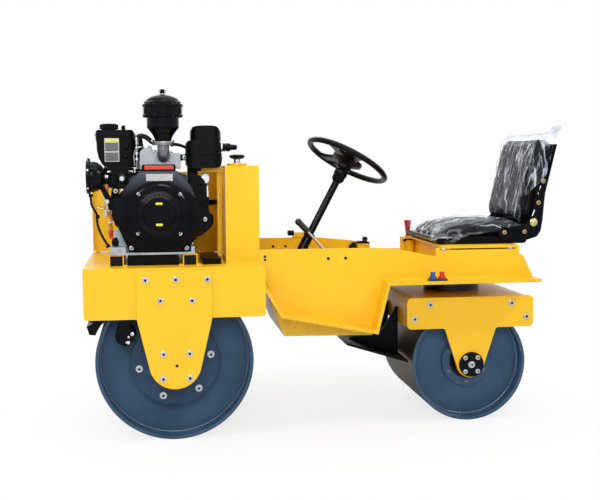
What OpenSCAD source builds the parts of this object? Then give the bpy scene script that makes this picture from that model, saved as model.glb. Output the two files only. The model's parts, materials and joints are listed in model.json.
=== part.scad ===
// Ride-on steel drum roller with a single-cylinder diesel engine.
// Millimetres. +X is forward (engine end), +Y is the left side, +Z is up.
// The machine stands on the plane Z = 0 with its plan centred on the origin.
// Stations (x, z) of the frame parts are measured from the front drum's axle.

/* [Node] */
// Which sub-part to show

/* [Overall] */
// Distance from the plan centre to the front drum's axle
front_axle_x = 571.5; // [500:0.5:640]
// Distance between the two drum axles
wheelbase = 1110; // [1040:1:1180]
// Half of the distance over the leg plates
half_width = 400; // [390:1:430]

/* [Front drum] */
// Front drum diameter
front_drum_d = 560; // [480:1:580]
// Front drum length
front_drum_w = 700; // [560:1:716]
// Thickness of the rolled drum shells
shell_t = 12; // [8:1:16]
// How far the front drum's end discs sit inside the rims
front_recess = 60; // [50:1:70]
// Thickness of the drums' end discs
disc_t = 10; // [6:1:14]
// Diameter of the carrier disc that drives the drum
carrier_d = 310; // [280:1:330]
// Radius of the circle through the rubber mounts
mount_circle_r = 129; // [115:1:135]
// Radius of one rubber mount lobe
mount_lobe_r = 31; // [24:1:34]
// Number of rubber mounts on each side
mount_count = 6; // [4:1:8]
// Radius of the front spindle
front_spindle_r = 30; // [24:1:36]

/* [Rear drum] */
// Rear drum diameter
rear_drum_d = 440; // [380:1:460]
// Rear drum length
rear_drum_w = 500; // [420:1:504]
// How far the rear drum's end discs sit inside the rims
rear_recess = 50; // [40:1:60]
// Radius of the rear hub flange
rear_flange_r = 95; // [80:1:110]
// Radius of the rear spindle
rear_spindle_r = 25; // [20:1:30]

/* [Front frame] */
// Length of the front side plates
side_l = 636; // [620:1:650]
// Distance from the axle to the front edge of the side plates
side_front = 314; // [306:1:322]
// Height of the underside of the side plates
side_z0 = 441; // [430:1:450]
// Height of the deck's top face
deck_z = 621; // [610:1:635]
// Thickness of the side plates
side_t = 10; // [6:1:12]
// Thickness of the leg plates
leg_t = 12; // [8:1:16]
// Corner radius of the side plates
side_r = 14; // [6:1:24]
// Half of the leg plate's width at the top
leg_half = 131; // [120:1:140]
// Radius of the leg plate's rounded foot
leg_foot_r = 92; // [80:1:98]
// Thickness of the deck and of the cross plates
deck_t = 10; // [6:1:12]

/* [Platform] */
// Thickness of the folded floor
floor_t = 12; // [8:1:14]
// Half of the folded floor's width
floor_half = 377; // [360:1:378]
// Distance from the middle to the outer face of the platform walls
wall_y = 285; // [270:1:300]
// Thickness of the platform walls
wall_t = 8; // [5:1:10]
// Height of the platform walls beside the footwell
wall_z = 668; // [650:1:690]
// Height of the bolt holes in the platform walls
wall_hole_z = 632; // [600:1:650]
// Radius of the bolt holes in the platform walls
wall_hole_r = 6; // [3:0.5:8]
// Height of the underside of the rear deck
rear_deck_z = 538; // [530:1:548]

/* [Rear yoke] */
// Height of the yoke's top face
yoke_z = 475; // [460:1:490]
// Height of the yoke's side plates
yoke_h = 118; // [100:1:130]
// Half of the yoke's length
yoke_half = 245; // [220:1:250]
// Outer face of the yoke's side plates from the middle
yoke_y = 270; // [265:1:280]
// Thickness of the yoke's side plates
yoke_t = 12; // [8:1:12]
// Corner radius of the yoke's side plates
yoke_r = 17; // [10:1:25]
// Radius of the slewing ring
slew_r = 110; // [80:1:130]

/* [Engine] */
// Height of the hat-section rails
rail_h = 40; // [30:1:50]
// Width of the hat-section rails over the web
rail_w = 52; // [40:1:60]
// Distance from the axle line to the crankshaft
crank_x = 47; // [30:1:60]
// Height of the crankshaft
crank_z = 806; // [780:1:830]
// Outer face of the fan shroud from the middle
shroud_y = 322; // [300:1:330]
// Radius of the starter cover
starter_r = 106; // [95:1:110]
// Radius of the air filter's collar
filter_r = 72; // [60:1:80]

/* [Driver's place] */
// Angle of the steering column from the vertical
column_lean = 29.2; // [20:0.1:35]
// Angle of the steering column to the right, seen from the front
column_side = 10.2; // [0:0.1:12]
// Steering wheel diameter
wheel_d = 350; // [300:1:380]
// Steering wheel rim radius
rim_r = 8; // [6:0.5:12]
// Seat width
seat_w = 440; // [400:1:460]
// Seat depth
seat_l = 366; // [340:1:400]
// Angle of the seat back from the vertical
back_lean = 13.5; // [5:0.5:20]

/* [Hidden] */
$fn = 64;
fit = 0.3;
slew_gap = 0.5;
eps = 0.01;
front_r = front_drum_d / 2;
rear_r = rear_drum_d / 2;
kingpin_x = front_axle_x - wheelbase;
drawn_wheelbase = 1110;
stretch = drawn_wheelbase - wheelbase;
yellow = [0.98, 0.78, 0.12];
black = [0.08, 0.08, 0.09];
drum_blue = [0.26, 0.34, 0.43];
steel = [0.55, 0.56, 0.58];
cast = [0.62, 0.64, 0.66];
red = [0.75, 0.08, 0.08];
cable_black = [0.05, 0.05, 0.05];

// ---------- helpers ----------

// Moves parts drawn from the front axle into place
module from_axle() { translate([front_axle_x, 0, 0]) children(); }

// Moves parts drawn from the kingpin into place
module from_kingpin() { translate([kingpin_x, 0, 0]) children(); }

// Places the parts over the rear drum, whose stations are drawn for drawn_wheelbase
module from_rear() { translate([front_axle_x + stretch, 0, 0]) children(); }

// Draws a part on the left (side = 1) or its mirror on the right (side = -1)
module on_side(side) { scale([1, side, 1]) children(); }

// Extrudes an outline drawn in X and Z from y0 to y1
module across(y0, y1) {
    translate([0, y1, 0]) rotate([90, 0, 0]) linear_extrude(height = y1 - y0) children();
}

// A rectangle with rounded corners between two opposite corners
module soft_rect(a, b, r) {
    translate([a.x + r, a.y]) square([b.x - a.x - 2 * r, b.y - a.y]);
    translate([a.x, a.y + r]) square([b.x - a.x, b.y - a.y - 2 * r]);
    for (x = [a.x + r, b.x - r], y = [a.y + r, b.y - r]) translate([x, y]) circle(r = r);
}

// A box between two opposite corners
module block(a, b) { translate(a) cube(b - a); }

// A round bar between two points
module bar(p, q, r) {
    d = q - p;
    translate(p) rotate([0, acos(d.z / norm(d)), atan2(d.y, d.x)])
        cylinder(h = norm(d), r = r);
}

// A solid of revolution about the Y axis through (x, z)
module turned_y(x, z) {
    translate([x, 0, z]) rotate([-90, 0, 0]) rotate_extrude() children();
}

// Unit direction from point a to point b
function unit(a, b) = (b - a) / norm(b - a);

// Left-hand normal of a direction
function left_of(d) = [-d.y, d.x];

// Corner i of an open line, moved by distance t to the line's right
function miter(p, i, t) =
    let (u = i > 0 ? unit(p[i - 1], p[i]) : unit(p[0], p[1]),
         v = i < len(p) - 1 ? unit(p[i], p[i + 1]) : u)
    p[i] - (left_of(u) + left_of(v)) * t / (1 + u * v);

// An open line moved by distance t to its right
function beside(p, t) = [for (i = [0 : len(p) - 1]) miter(p, i, t)];

// The same list from its end to its start
function turned_round(p) = [for (i = [len(p) - 1 : -1 : 0]) p[i]];

// Where the line through a and b reaches the height z
function at_height(a, b, z) = [a.x + (b.x - a.x) * (z - a.y) / (b.y - a.y), z];

// Where the line through a and b reaches the station x
function at_station(a, b, x) = [x, a.y + (b.y - a.y) * (x - a.x) / (b.x - a.x)];

// Touching point on a circle of radius r at the origin, seen from p, on its lower right
function touch(p, r) =
    let (a = atan2(p.y, p.x) - acos(r / norm(p))) r * [cos(a), sin(a)];

// A leg that runs from half width h at height z down to a round foot of radius r
module leg_outline(h, z, foot_z, r) {
    t = touch([h, z - foot_z], r) + [0, foot_z];
    polygon([[-h, z], [-t.x, t.y], [t.x, t.y], [h, z]]);
    translate([0, foot_z]) circle(r = r);
}

// Fills the corner below a plate and to the right of a leg with a concave arc
module inner_corner(corner, r) {
    difference() {
        translate([corner.x - r, corner.y - r]) square([2 * r, r + 1]);
        translate(corner + [r, -r]) circle(r = r);
        translate(corner + [0, -2 * r]) square([3 * r, r]);
        translate(corner + [-r - 1, -r - 1]) square([1, 1]);
    }
}

// ---------- front drum and its carriers ----------

module front_drum() {
    half = front_drum_w / 2;
    disc = half - front_recess;
    hole = 60;
    color(drum_blue) from_axle() turned_y(0, front_r) {
        difference() {
            translate([front_r - shell_t, -half]) square([shell_t, front_drum_w]);
        }
        for (y = [disc - disc_t, -disc]) translate([hole, y])
            square([front_r - hole - shell_t / 2, disc_t]);
    }
}

// Carrier disc with its rubber mounts and spindle
module carrier(side) {
    disc = front_drum_w / 2 - front_recess;
    face = disc + 46;
    plate = 8;
    spindle_end = half_width - leg_t - 6;
    hub_r = 58;
    first = 10;
    color(drum_blue) on_side(side) from_axle() translate([0, 0, front_r]) {
        across(face, face + plate) circle(d = carrier_d);
        across(disc, face + eps) {
            circle(r = hub_r);
            for (i = [0 : mount_count - 1]) rotate(180 - first + i * 360 / mount_count)
                translate([mount_circle_r, 0]) circle(r = mount_lobe_r);
        }
        across(face, spindle_end) circle(r = front_spindle_r);
    }
}
module carrier_left() { carrier(1); }
module carrier_right() { carrier(-1); }

// ---------- front frame ----------

module side_plate(side) {
    outer = half_width - leg_t;
    color(yellow) on_side(side) from_axle() across(outer - side_t, outer)
        soft_rect([side_front - side_l, side_z0], [side_front, deck_z], side_r);
}
module side_plate_left() { side_plate(1); }
module side_plate_right() { side_plate(-1); }

// Leg plate with the bearing boss of the front drum behind it
module leg(side) {
    inner = half_width - leg_t;
    boss_y = front_drum_w / 2 + 4;
    boss_r = 66;
    top_z = 605;
    corner_r = 8;
    foot_z = front_r + 4;
    grease_hole = [-5, 274];
    grease_hole_r = 5.5;
    color(yellow) on_side(side) from_axle() difference() {
        union() {
            across(inner, half_width) {
                soft_rect([-leg_half, side_z0], [leg_half, top_z], corner_r);
                translate([-leg_half, side_z0]) square([2 * leg_half, 2 * corner_r]);
                leg_outline(leg_half, side_z0, foot_z, leg_foot_r);
            }
            across(boss_y, inner + eps) translate([0, front_r]) circle(r = boss_r);
        }
        across(boss_y - 1, inner - 4) translate([0, front_r])
            circle(r = front_spindle_r + fit);
        across(inner - 5, half_width + 1) translate(grease_hole) circle(r = grease_hole_r);
    }
}
module leg_left() { leg(1); }
module leg_right() { leg(-1); }

// Deck with the cross plates that close the front frame at both ends
module front_deck() {
    y = half_width - leg_t - side_t;
    rear = side_front - side_l;
    color(yellow) from_axle() {
        block([rear, -y, deck_z - deck_t], [side_front, y, deck_z]);
        block([side_front - deck_t, -y, side_z0 + 14], [side_front, y, deck_z]);
        block([rear, -y, side_z0 + 4], [rear + deck_t, y, deck_z]);
    }
}

// Round bracket that carries the drum motor's hose fittings
module hose_bracket() {
    x = 174;
    z = 382;
    r = 34;
    y0 = front_drum_w / 2 - 50;
    plate_y = half_width - leg_t - side_t;
    color(black) from_axle() {
        across(y0, plate_y - eps) translate([x, z]) circle(r = r);
        across(plate_y - 10, plate_y) translate([x - 20, z]) square([40, 84]);
    }
}

// Scraper blade and its holder in front of the front drum
module front_scraper() {
    y = half_width - leg_t - side_t;
    x = side_front - deck_t;
    color(black) from_axle() across(-y, y) polygon([[x, 470], [x - 14, 470], [x - 22, 446],
        [x - 58, 431], [x - 48, 423], [x - 36, 403], [x - 29, 388], [x - 8, 390],
        [x - 2, 409], [x + 1, 419], [x - 22, 430], [x, 440]]);
}

// ---------- engine ----------

// Hat-section rail under the engine
module rail(x) {
    t = 4;
    foot = 12;
    h = rail_w / 2;
    color(yellow) from_axle() across(-50, 312) translate([x, deck_z])
        polygon([[-h - foot, 0], [-h + t, 0], [-h + t, rail_h - t], [h - t, rail_h - t],
            [h - t, 0], [h + foot, 0], [h + foot, t], [h, t], [h, rail_h], [-h, rail_h],
            [-h, t], [-h - foot, t]]);
}
module rail_front() { rail(200); }
module rail_rear() { rail(-60); }

// Cast base, crankcase with its shaft end, and the finned cylinder barrel
module crankcase() {
    z0 = deck_z + rail_h;
    front = 222;
    rear = -76;
    near = shroud_y - 60.3;
    base_h = 28;
    cover_r = 80;
    barrel = [54, 148];
    barrel_r = 56;
    fin_z = 904;
    fin_gap = 12;
    color(cast) from_axle() {
        block([rear, -40, z0], [front, 318, z0 + 7.7]);
        block([rear, -40, z0], [front, near, z0 + base_h]);
        for (x = [rear, front - 56]) block([x, 200, z0], [x + (x < 0 ? 12 : 56), 318, z0 + base_h]);
        across(200, near) polygon([[150, z0 + 20], [front - 6, z0 + 20], [front - 14, z0 + 82],
            [170, z0 + 92]]);
        across(-20, near) union() {
            soft_rect([-50, z0 + 20], [160, 900], 22);
            translate([-50, z0 + 10]) square([210, 60]);
        }
        translate([barrel.x, barrel.y, 890]) cylinder(h = 72.2, r = barrel_r);
        for (i = [0 : 4]) translate([0, 0, fin_z + i * fin_gap]) linear_extrude(height = 4)
            soft_rect([-16, 74], [124, 222], 14);
        across(-46, -10) translate([crank_x, crank_z]) circle(r = cover_r);
        for (a = [30 : 60 : 330]) across(-56, -40)
            translate([crank_x, crank_z] + (cover_r - 14) * [cos(a), sin(a)]) circle(r = 9);
        across(-64, -20) translate([crank_x, crank_z]) circle(r = 38);
        across(-112, -20) translate([crank_x, crank_z]) circle(r = 17);
        for (x = [-20, 118]) across(-30, 0) soft_rect([x, z0 + 30], [x + 16, z0 + 110], 5);
    }
}

// Fan housing: a faceted cone on the engine's outline, the cowl over the cylinder,
// and the housing of the electric starter behind its bulge
module fan_shroud() {
    y0 = shroud_y - 60;
    corners = 8;
    ring = starter_r + 6;
    starter = [-112, 776];
    outline = [[110, 956], [-20, 956], [-66, 904], [-95, 833], [-126, 815], [-146, 796],
        [-148, 770], [-138, 752], [-105, 727], [-83, 719], [-47, 669], [153, 669],
        [196, 770], [213, 818], [210, 854], [178, 886]];
    color(black) from_axle() difference() {
        union() {
            intersection() {
                across(y0, shroud_y) polygon(outline);
                translate([crank_x, y0 - 30, crank_z]) rotate([-90, 22.5, 0])
                    cylinder(h = shroud_y - y0 + 30, r1 = 262, r2 = 140, $fn = corners);
            }
            across(y0 + 20, shroud_y - eps) translate([crank_x, crank_z]) circle(r = ring);
            across(175, y0 + 1) polygon([[140, 900.5], [-46, 900.5], [-58, 912], [-58, 940],
                [-20, 955], [110, 955], [150, 930], [150, 906]]);
            across(120, y0 + 1) translate(starter) circle(r = 35);
            across(104, 121) translate(starter) circle(r = 26);
            across(140, y0 + 1) translate([-100, 846]) circle(r = 24);
            across(244, y0 + 1) soft_rect([-130, 800], [-60, 900], 12);
        }
        across(174, 223) soft_rect([-17, 890], [125, 960], 1);
        across(shroud_y - 1.5, shroud_y + 1) soft_rect([-5, 920], [93, 949], 2);
    }
}

// Stepped round cover of the hand starter
module starter_cover() {
    y = shroud_y;
    color(black) from_axle() turned_y(crank_x, crank_z) polygon([[0, y],
        [starter_r, y], [starter_r, y + 6], [starter_r - 8, y + 12], [starter_r - 24, y + 12],
        [starter_r - 28, y + 20], [58, y + 24], [54, y + 30], [0, y + 30]]);
}

// Cylinder head with its fins, inlet port and rocker cover
module cylinder_head() {
    z0 = 962.5;
    fin_gap = 9;
    color(cast) from_axle() {
        difference() {
            across(62, 234) soft_rect([-34, z0], [122, 994], 4);
            for (i = [0 : 2]) block([-60, 40, z0 + 5 + i * fin_gap], [150, 80, z0 + 9 + i * fin_gap]);
        }
        across(90, 222) polygon([[50, 990], [112, 990], [112, 1024], [104, 1034], [64, 1034],
            [50, 1006]]);
        across(98, 214) soft_rect([66, 1030], [100, 1038], 3);
        across(90, 228) soft_rect([-33, 986], [6, 1020], 6);
        block([6 - eps, 150, 990], [52, 234, 1026]);
        block([113, 90, z0 - 5], [122, 170, z0 + 5]);
        block([113, 90, z0 - 5], [252, 170, z0 - 0.8]);
    }
}

// Cast elbow between the air filter and the inlet port
module intake_elbow() {
    x = 28;
    y = 258;
    r = 21;
    bend_r = 22;
    low = 1030;
    color(cast) from_axle() {
        translate([x, y, low - eps]) cylinder(h = 20, r = r);
        translate([x, y - bend_r, low]) rotate([0, -90, 0]) rotate(90)
            rotate_extrude(angle = 90) translate([bend_r, 0]) circle(r = r, $fn = 48);
        translate([x, y, 1048]) cylinder(h = 10, r = 38);
        across(234, y - bend_r + eps) soft_rect([x - 25, 990], [x + 25, 1026], 6);
    }
}

// Air filter: bowl, lipped collar and domed hood with its wing nut
module air_filter() {
    r = filter_r;
    bowl_r = 57;
    stud_r = 8;
    collar = [1148, 1191];
    dome_r = r - 9;
    dome_h = 34;
    color(black) from_axle() translate([28, 258, 0]) rotate_extrude() {
        polygon([[0, 1058], [28, 1058], [31, 1072], [36, 1083], [50, 1102], [55, 1108],
            [bowl_r, 1110], [bowl_r, collar[0]], [r - 4, collar[0]], [r, collar[0] + 3],
            [r, collar[0] + 8], [r - 3, collar[0] + 11], [r - 3, collar[1] - 8],
            [r, collar[1] - 6], [r, collar[1]], [dome_r, collar[1] + 6], [0, collar[1] + 6]]);
        translate([0, collar[1] + 4]) intersection() {
            scale([1, dome_h / dome_r]) circle(r = dome_r);
            square([dome_r, dome_h]);
        }
        translate([0, 1220]) square([stud_r, 26]);
    }
}

// Fuel tank with its seam, filler cap and breather
module fuel_tank() {
    seam_z = 1084;
    seam = 3;
    color(black) from_axle() {
        intersection() {
            across(0, 244) union() {
                soft_rect([131, 1060], [268, 1104], 12);
                soft_rect([138, 966], [232, 1080], 12);
                polygon([[150, 1084], [150, 980], [236, 972], [246, 982], [257, 1004],
                    [263, 1030], [266, 1084]]);
            }
            translate([0, 0, 900]) linear_extrude(height = 300)
                soft_rect([131, 4], [268, 240], 26);
        }
        translate([0, 0, seam_z]) linear_extrude(height = 4)
            soft_rect([131 - seam, 4 - seam], [268 + seam, 240 + seam], 26 + seam);
        translate([221, 170, 1100]) cylinder(h = 8, r = 27);
        translate([221, 170, 1107]) cylinder(h = 18, r = 31);
        translate([171, 120, 1100]) cylinder(h = 16, r = 7);
        for (x = [150, 208]) block([x, 60, 962], [x + 18, 200, 970]);
    }
}

// Silencer in two pressings, the lower one wider, with its exhaust flange and outlet pipe
module muffler() {
    upper = [[-177, 1010], [-72, 1117]];
    lower = [[-181, 966], [-54, 1066]];
    outlet = [-174, 205, 1040];
    color(black) from_axle() {
        intersection() {
            across(88, 238) soft_rect(upper[0], upper[1], 22);
            translate([0, 0, 900]) linear_extrude(height = 300)
                soft_rect([upper[0].x, 90], [upper[1].x, 234], 24);
        }
        intersection() {
            across(78, 254) soft_rect(lower[0], lower[1], 18);
            translate([0, 0, 900]) linear_extrude(height = 300)
                soft_rect([lower[0].x, 80], [lower[1].x, 252], 28);
        }
        translate([0, 0, 1014]) linear_extrude(height = 5)
            soft_rect([lower[0].x - 3, 77], [lower[1].x + 3, 255], 30);
        translate(outlet) rotate([0, -90, 0]) {
            cylinder(h = 22, r = 15);
            cylinder(h = 62, r = 10);
        }
        across(118, 202) soft_rect([-39, 991], [-33.3, 1017], 2.5);
        bar([-60, 160, 1004], [-36, 160, 1004], 11);
    }
}

// Round headlamp on its bracket
module headlamp() {
    c = [233, 300, 938];
    depth = 62;
    rim = 59;
    color(black) from_axle() {
        translate(c) rotate([0, 90, 0]) rotate_extrude()
            polygon([[0, 0], [16, 0], [30, 5], [42, 14], [50, 26], [54, 40], [55, 50], [rim, 52],
                [rim, depth - 2], [rim - 3, depth], [0, depth]]);
        across(276, 284) polygon([[213.4, 818], [210.4, 854], [222, 876], [238, 904],
            [256, 904], [240, 868], [228, 846], [222, 820]]);
    }
}

// Cable from the headlamp down to the engine's base
module lamp_cable() {
    r = 4.5;
    bend_r = 251;
    bend = 40.4;
    sleeve = 1.5;
    top = [284, 300, 850];
    lamp_under = 879;
    color(cable_black) from_axle() {
        translate(top - [0, 0, 8]) cylinder(h = lamp_under - fit - top.z + 8, r = r + sleeve);
        translate(top - [bend_r, 0, 0]) rotate([90, 0, 0]) rotate(-bend)
            rotate_extrude(angle = bend) translate([bend_r, 0]) circle(r = r, $fn = 24);
    }
}

// ---------- panels and tanks behind the engine ----------

module side_panel() {
    y = -wall_y;
    color(yellow) from_axle() {
        block([196, y, 632], [312, y + 5, 902]);
        block([196, y, 628], [312, y + 30, 633]);
        block([307, y, 632], [312, y + 24, 902]);
        for (x = [210, 286]) block([x, y + 6, deck_z], [x + 14, y + 24, 629]);
    }
}

// Tank cabinet with a recessed front
module tank_cabinet() {
    front = -190;
    rear = -312;
    top = 973;
    lip = 7;
    recess = 26;
    color(yellow) from_axle() {
        difference() {
            block([rear, -wall_y, deck_z], [front, wall_y, top]);
            block([front - recess, -wall_y + lip, deck_z + 20],
                [front + 1, wall_y - lip, top - lip]);
        }
        translate([-240, 200, top - eps]) cylinder(h = 8, r = 34);
    }
}

// Filler cap on the tank cabinet
module filler_cap() {
    z = 981;
    color(black) from_axle() translate([-240, 200, z]) {
        cylinder(h = 16, r = 12);
        translate([0, 0, 14]) cylinder(h = 16, r = 26);
    }
}

// Post and top strip in front of the cabinet
module tank_post() {
    x = -182;
    color(yellow) from_axle() {
        block([x, 196, deck_z], [x + 4, 214, 960]);
        block([x, 196, deck_z], [x + 16, 200, 960]);
        block([x - 4, 186, deck_z], [x + 26, 224, deck_z + 6]);
        block([-190, 186, 950], [-110, 214, 966]);
    }
}

// Round oil tank with its strap
module round_tank() {
    r = 80;
    color(yellow) from_axle() translate([-104, -140, 0]) {
        translate([0, 0, 632]) cylinder(h = 316, r = r);
        translate([0, 0, deck_z]) cylinder(h = 12, r = r - 12);
        translate([0, 0, 812]) cylinder(h = 26, r = r + 2);
    }
}

// ---------- platform ----------

frame_rear = side_front - side_l;
floor_line = [[frame_rear + 30, 578], [-380, 430], [-732 + stretch, 361],
    [-776 + stretch, rear_deck_z], [-1346 + stretch, rear_deck_z]];
floor_top = beside(floor_line, floor_t);
floor_seat = beside(floor_line, floor_t + fit);

// Folded floor with the beam under the footwell and the kingpin seat
module floor_pan() {
    color(yellow) {
        from_axle() {
            across(-floor_half, floor_half) intersection() {
                polygon(concat(floor_line, turned_round(floor_top)));
                translate([-2000, 300]) square([2000 + frame_rear, 300]);
            }
            across(-250, 250) polygon([[-346, 488], floor_line[1] + [0, 1],
                floor_line[2] + [0, 1], [-736 + stretch, 338], [-404, 343]]);
        }
        from_kingpin() translate([0, 0, rear_deck_z - 30]) cylinder(h = 31, r = slew_r + 14);
    }
}

// Upper edges of the platform walls from the seat riser forward
left_crest = [[-969, 632], [-900, 646], [-857, 655], [-815, 662], [-770, 667], [-716, wall_z]];
right_crest = [[-969, 614], [-931, 616], [-850, 617], [-826, 621], [-802, 636], [-782, 647],
    [-760, 652], [-603, wall_z]];

// Platform wall with the seat riser at its rear end, a slot below the riser's lid,
// a slot at its front and a pair of bolt holes
module wall(side, hole_x, crest) {
    riser_front = -969 + stretch;
    riser_rear = -1292 + stretch;
    riser_z = 664;
    slot_h = 5;
    slot_end = 14;
    front_slot = [frame_rear - 9, 638];
    front_foot = at_station(floor_top[0], floor_top[1], frame_rear);
    color(yellow) on_side(side) from_axle() across(wall_y - wall_t, wall_y) difference() {
        polygon(concat([[frame_rear + 10, wall_z], [frame_rear + 10, deck_z],
            [frame_rear, deck_z], front_foot], [for (i = [1 : 4]) floor_top[i]],
            [[-1306 + stretch, 632], [riser_rear, 636], [riser_rear, riser_z],
            [riser_front, riser_z]], [for (c = crest) c + [stretch, 0]]));
        for (x = hole_x) translate([x, wall_hole_z]) circle(r = wall_hole_r);
        soft_rect(front_slot - [4, 11], front_slot + [4, 11], 3.9);
        translate([riser_rear + slot_end, riser_z - 9])
            square([riser_front - riser_rear - 2 * slot_end, slot_h]);
    }
}
module wall_left() { wall(1, [-564, -629], left_crest); }
module wall_right() { wall(-1, [-425, -477], right_crest); }

// Middle of the hand lever and its tube
lever_y = -252;

// Seat box: front and rear walls, the lid that carries the seat and the hand lever's tube
module seat_box() {
    y = wall_y - wall_t;
    z0 = rear_deck_z + floor_t;
    front = -990;
    wall_x = -1030;
    rear = -1290;
    lid_z = 664;
    post_x = -1006;
    color(yellow) from_rear() {
        block([wall_x, -y, z0], [wall_x + 6, y, lid_z + eps]);
        block([rear, -y, z0], [rear + 6, y, lid_z + eps]);
        block([rear, -wall_y, lid_z], [front, wall_y, seat_base_z]);
        translate([post_x, lever_y, z0]) cylinder(h = seat_base_z - z0, r1 = 14, r2 = 21);
    }
}

// ---------- seat ----------

seat_base_z = 670;
seat_rear_x = -1338;

// Thickness and height of the back cushion, and its lower front corner
back_t = 56;
back_h = 336;
back_foot = [-1325, 758];

// Outline of the seat's side bracket, with a round inner corner
module bracket_outline() {
    inner_r = 60;
    corner = [-1363, 737];
    difference() {
        union() {
            polygon([[-1345, 684], [-1236, 684], [-1228, 700], [-1230, 716], [-1246, 728],
                [-1303, 737], corner, [-1363, 797], [-1372, 842], [-1376, 892], [-1384, 914],
                [-1400, 928], [-1420, 932], [-1417, 897], [-1409, 829], [-1403, 757],
                [-1396, 716], [-1381, 695]]);
            translate(corner) square(inner_r);
        }
        translate(corner + [inner_r, inner_r]) circle(r = inner_r);
        translate(corner + [inner_r - eps, -eps]) square(inner_r * 1.1);
        translate(corner + [-eps, inner_r - eps]) square(inner_r * 1.1);
    }
}

// Steel seat pan with its side brackets and the back shell
module seat_frame() {
    half = seat_w / 2 + 8;
    lip = seat_base_z + 20;
    shell = 5;
    pan_front = seat_rear_x + seat_l - 8;
    color(black) from_rear() {
        across(-half + 26, half - 26) polygon([[pan_front - 30, seat_base_z],
            [-1310, seat_base_z], [-1322, lip], [pan_front - 2, lip]]);
        across(-half + 22, half - 22) soft_rect([-1324, lip - 1], [pan_front, lip + 8], 2);
        across(-half, half) soft_rect([-1360, lip - 1], [-1240, lip + 8], 2);
        for (side = [1, -1]) on_side(side) across(half - 4, half) bracket_outline();
        across(-half, half) translate(back_foot) rotate(back_lean)
            translate([-back_t - fit - shell, 24]) square([shell, back_h - 50]);
    }
}

// Seat cushion on a wedge, thicker at the rear
module seat_cushion() {
    front = seat_rear_x + seat_l - 14;
    z = seat_base_z + 28 + fit;
    thick = 34;
    rise = 2.2;
    color(black) from_rear() across(-seat_w / 2, seat_w / 2) {
        translate([front, z]) rotate(-rise) soft_rect([12 - seat_l, 0], [0, thick], 15);
        polygon([[front - 16, z], [front - 16, z + 4], [seat_rear_x + 22, z + 20],
            [seat_rear_x + 22, z]]);
    }
}

module back_cushion() {
    color(black) from_rear() across(-seat_w / 2, seat_w / 2) translate(back_foot)
        rotate(back_lean) soft_rect([-back_t, 0], [0, back_h], 24);
}

// ---------- controls ----------

// Points on the steering column's axis, by distance from its foot
column_foot = [-407, 60, 474];
column_dir = unit([0, 0, 0], [-tan(column_lean), -tan(column_side), 1]);
hub_s = 560;
function on_column(s) = column_foot + s * column_dir;

// Places a part that is drawn along Z at distance s on the column's axis
module along_column(s) {
    heading = atan2(column_dir.y, column_dir.x);
    from_axle() translate(on_column(s)) rotate([0, acos(column_dir.z), heading])
        rotate(-heading) children();
}

// Steering column on its pedestal in the front corner of the footwell
module column() {
    half = 38;
    y = column_foot.y;
    top_z = 484;
    tube_r = 14;
    jacket_r = 19;
    jacket_l = 270;
    bearing_r = 24;
    front = at_height(floor_seat[0], floor_seat[1], top_z);
    rear = at_station(floor_seat[1], floor_seat[2], -470);
    color(black) {
        along_column(-8) cylinder(h = jacket_l + 8, r = jacket_r);
        along_column(jacket_l - 10) cylinder(h = hub_s - jacket_l + 10, r = tube_r);
        along_column(hub_s - 40) cylinder(h = 40, r = bearing_r);
        from_axle() across(y - half, y + half) polygon([front, floor_seat[1], rear,
            [-470, 452], [-436, top_z]]);
    }
}

// Outline of the pair of flared spokes on one side of the steering wheel
module spoke_outline(ring) {
    w = 20;
    flare = 46;
    web_r = 50;
    for (a = spoke_angles) rotate(a) {
        translate([0, -w / 2]) square([ring, w]);
        polygon([[ring - flare, -w / 2], [ring, -w], [ring, w], [ring - flare, w / 2]]);
    }
    intersection() {
        circle(r = web_r);
        polygon([[0, 0], for (a = [spoke_angles[0] - 10 : 12 : spoke_angles[1] + 10])
            2 * web_r * [cos(a), sin(a)]]);
    }
}

// Directions of the left pair of spokes from straight ahead
spoke_angles = [55, 93];

// Steering wheel with a pair of spokes on each side of its hub
module steering_wheel() {
    ring = wheel_d / 2 - rim_r;
    rise = 36;
    spoke_t = 9;
    hub_r = 30;
    color(black) along_column(hub_s + fit) {
        cylinder(h = 26, r = hub_r - 3);
        translate([0, 0, 22]) cylinder(h = 16, r = hub_r + 8);
        translate([0, 0, 36]) cylinder(h = 8, r = hub_r);
        translate([0, 0, rise]) rotate_extrude() translate([ring, 0]) circle(r = rim_r, $fn = 24);
        translate([0, 0, rise - spoke_t / 2]) linear_extrude(height = spoke_t)
            for (side = [1, -1]) scale([1, side]) spoke_outline(ring);
    }
}

// Travel lever on its valve block
module travel_lever() {
    y = 60;
    pivot = [-690, y, 524];
    top = [-522, y, 716];
    grip = [-486, y, 754];
    grip_r = 12;
    shift = [stretch, 0];
    a = at_station(floor_seat[1], floor_seat[2], -662 + stretch) - shift;
    b = at_station(floor_seat[1], floor_seat[2], -716 + stretch) - shift;
    color(steel) from_rear() {
        across(y - 24, y + 24) polygon([[-662, 516], a, b, [-716, 516]]);
        translate(pivot - [0, 0, 12]) cylinder(h = 20, r = 16);
        bar(pivot, top, 5);
        bar(top, grip, grip_r);
        translate(grip) sphere(r = grip_r + 1.5);
    }
}

// Red hand lever on its tapered post
module hand_lever() {
    x = -994;
    y = lever_y;
    foot = 670;
    color(red) from_rear() translate([x, y, foot]) {
        cylinder(h = 6, r = 9);
        cylinder(h = 20, r = 7);
        translate([0, 0, 12]) cylinder(h = 54, r1 = 8, r2 = 15);
    }
}

// Switch box on the right wall's inner face, with its knob
module control_box() {
    y = wall_t - wall_y;
    z = 641;
    color(yellow) from_rear() {
        block([-827, y, z - 44], [-776, y + 42, z]);
        translate([-811, y + 21, z - eps]) cylinder(h = 7, r = 16);
        translate([-811, y + 21, z]) cylinder(h = 16, r = 10);
    }
}

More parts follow.
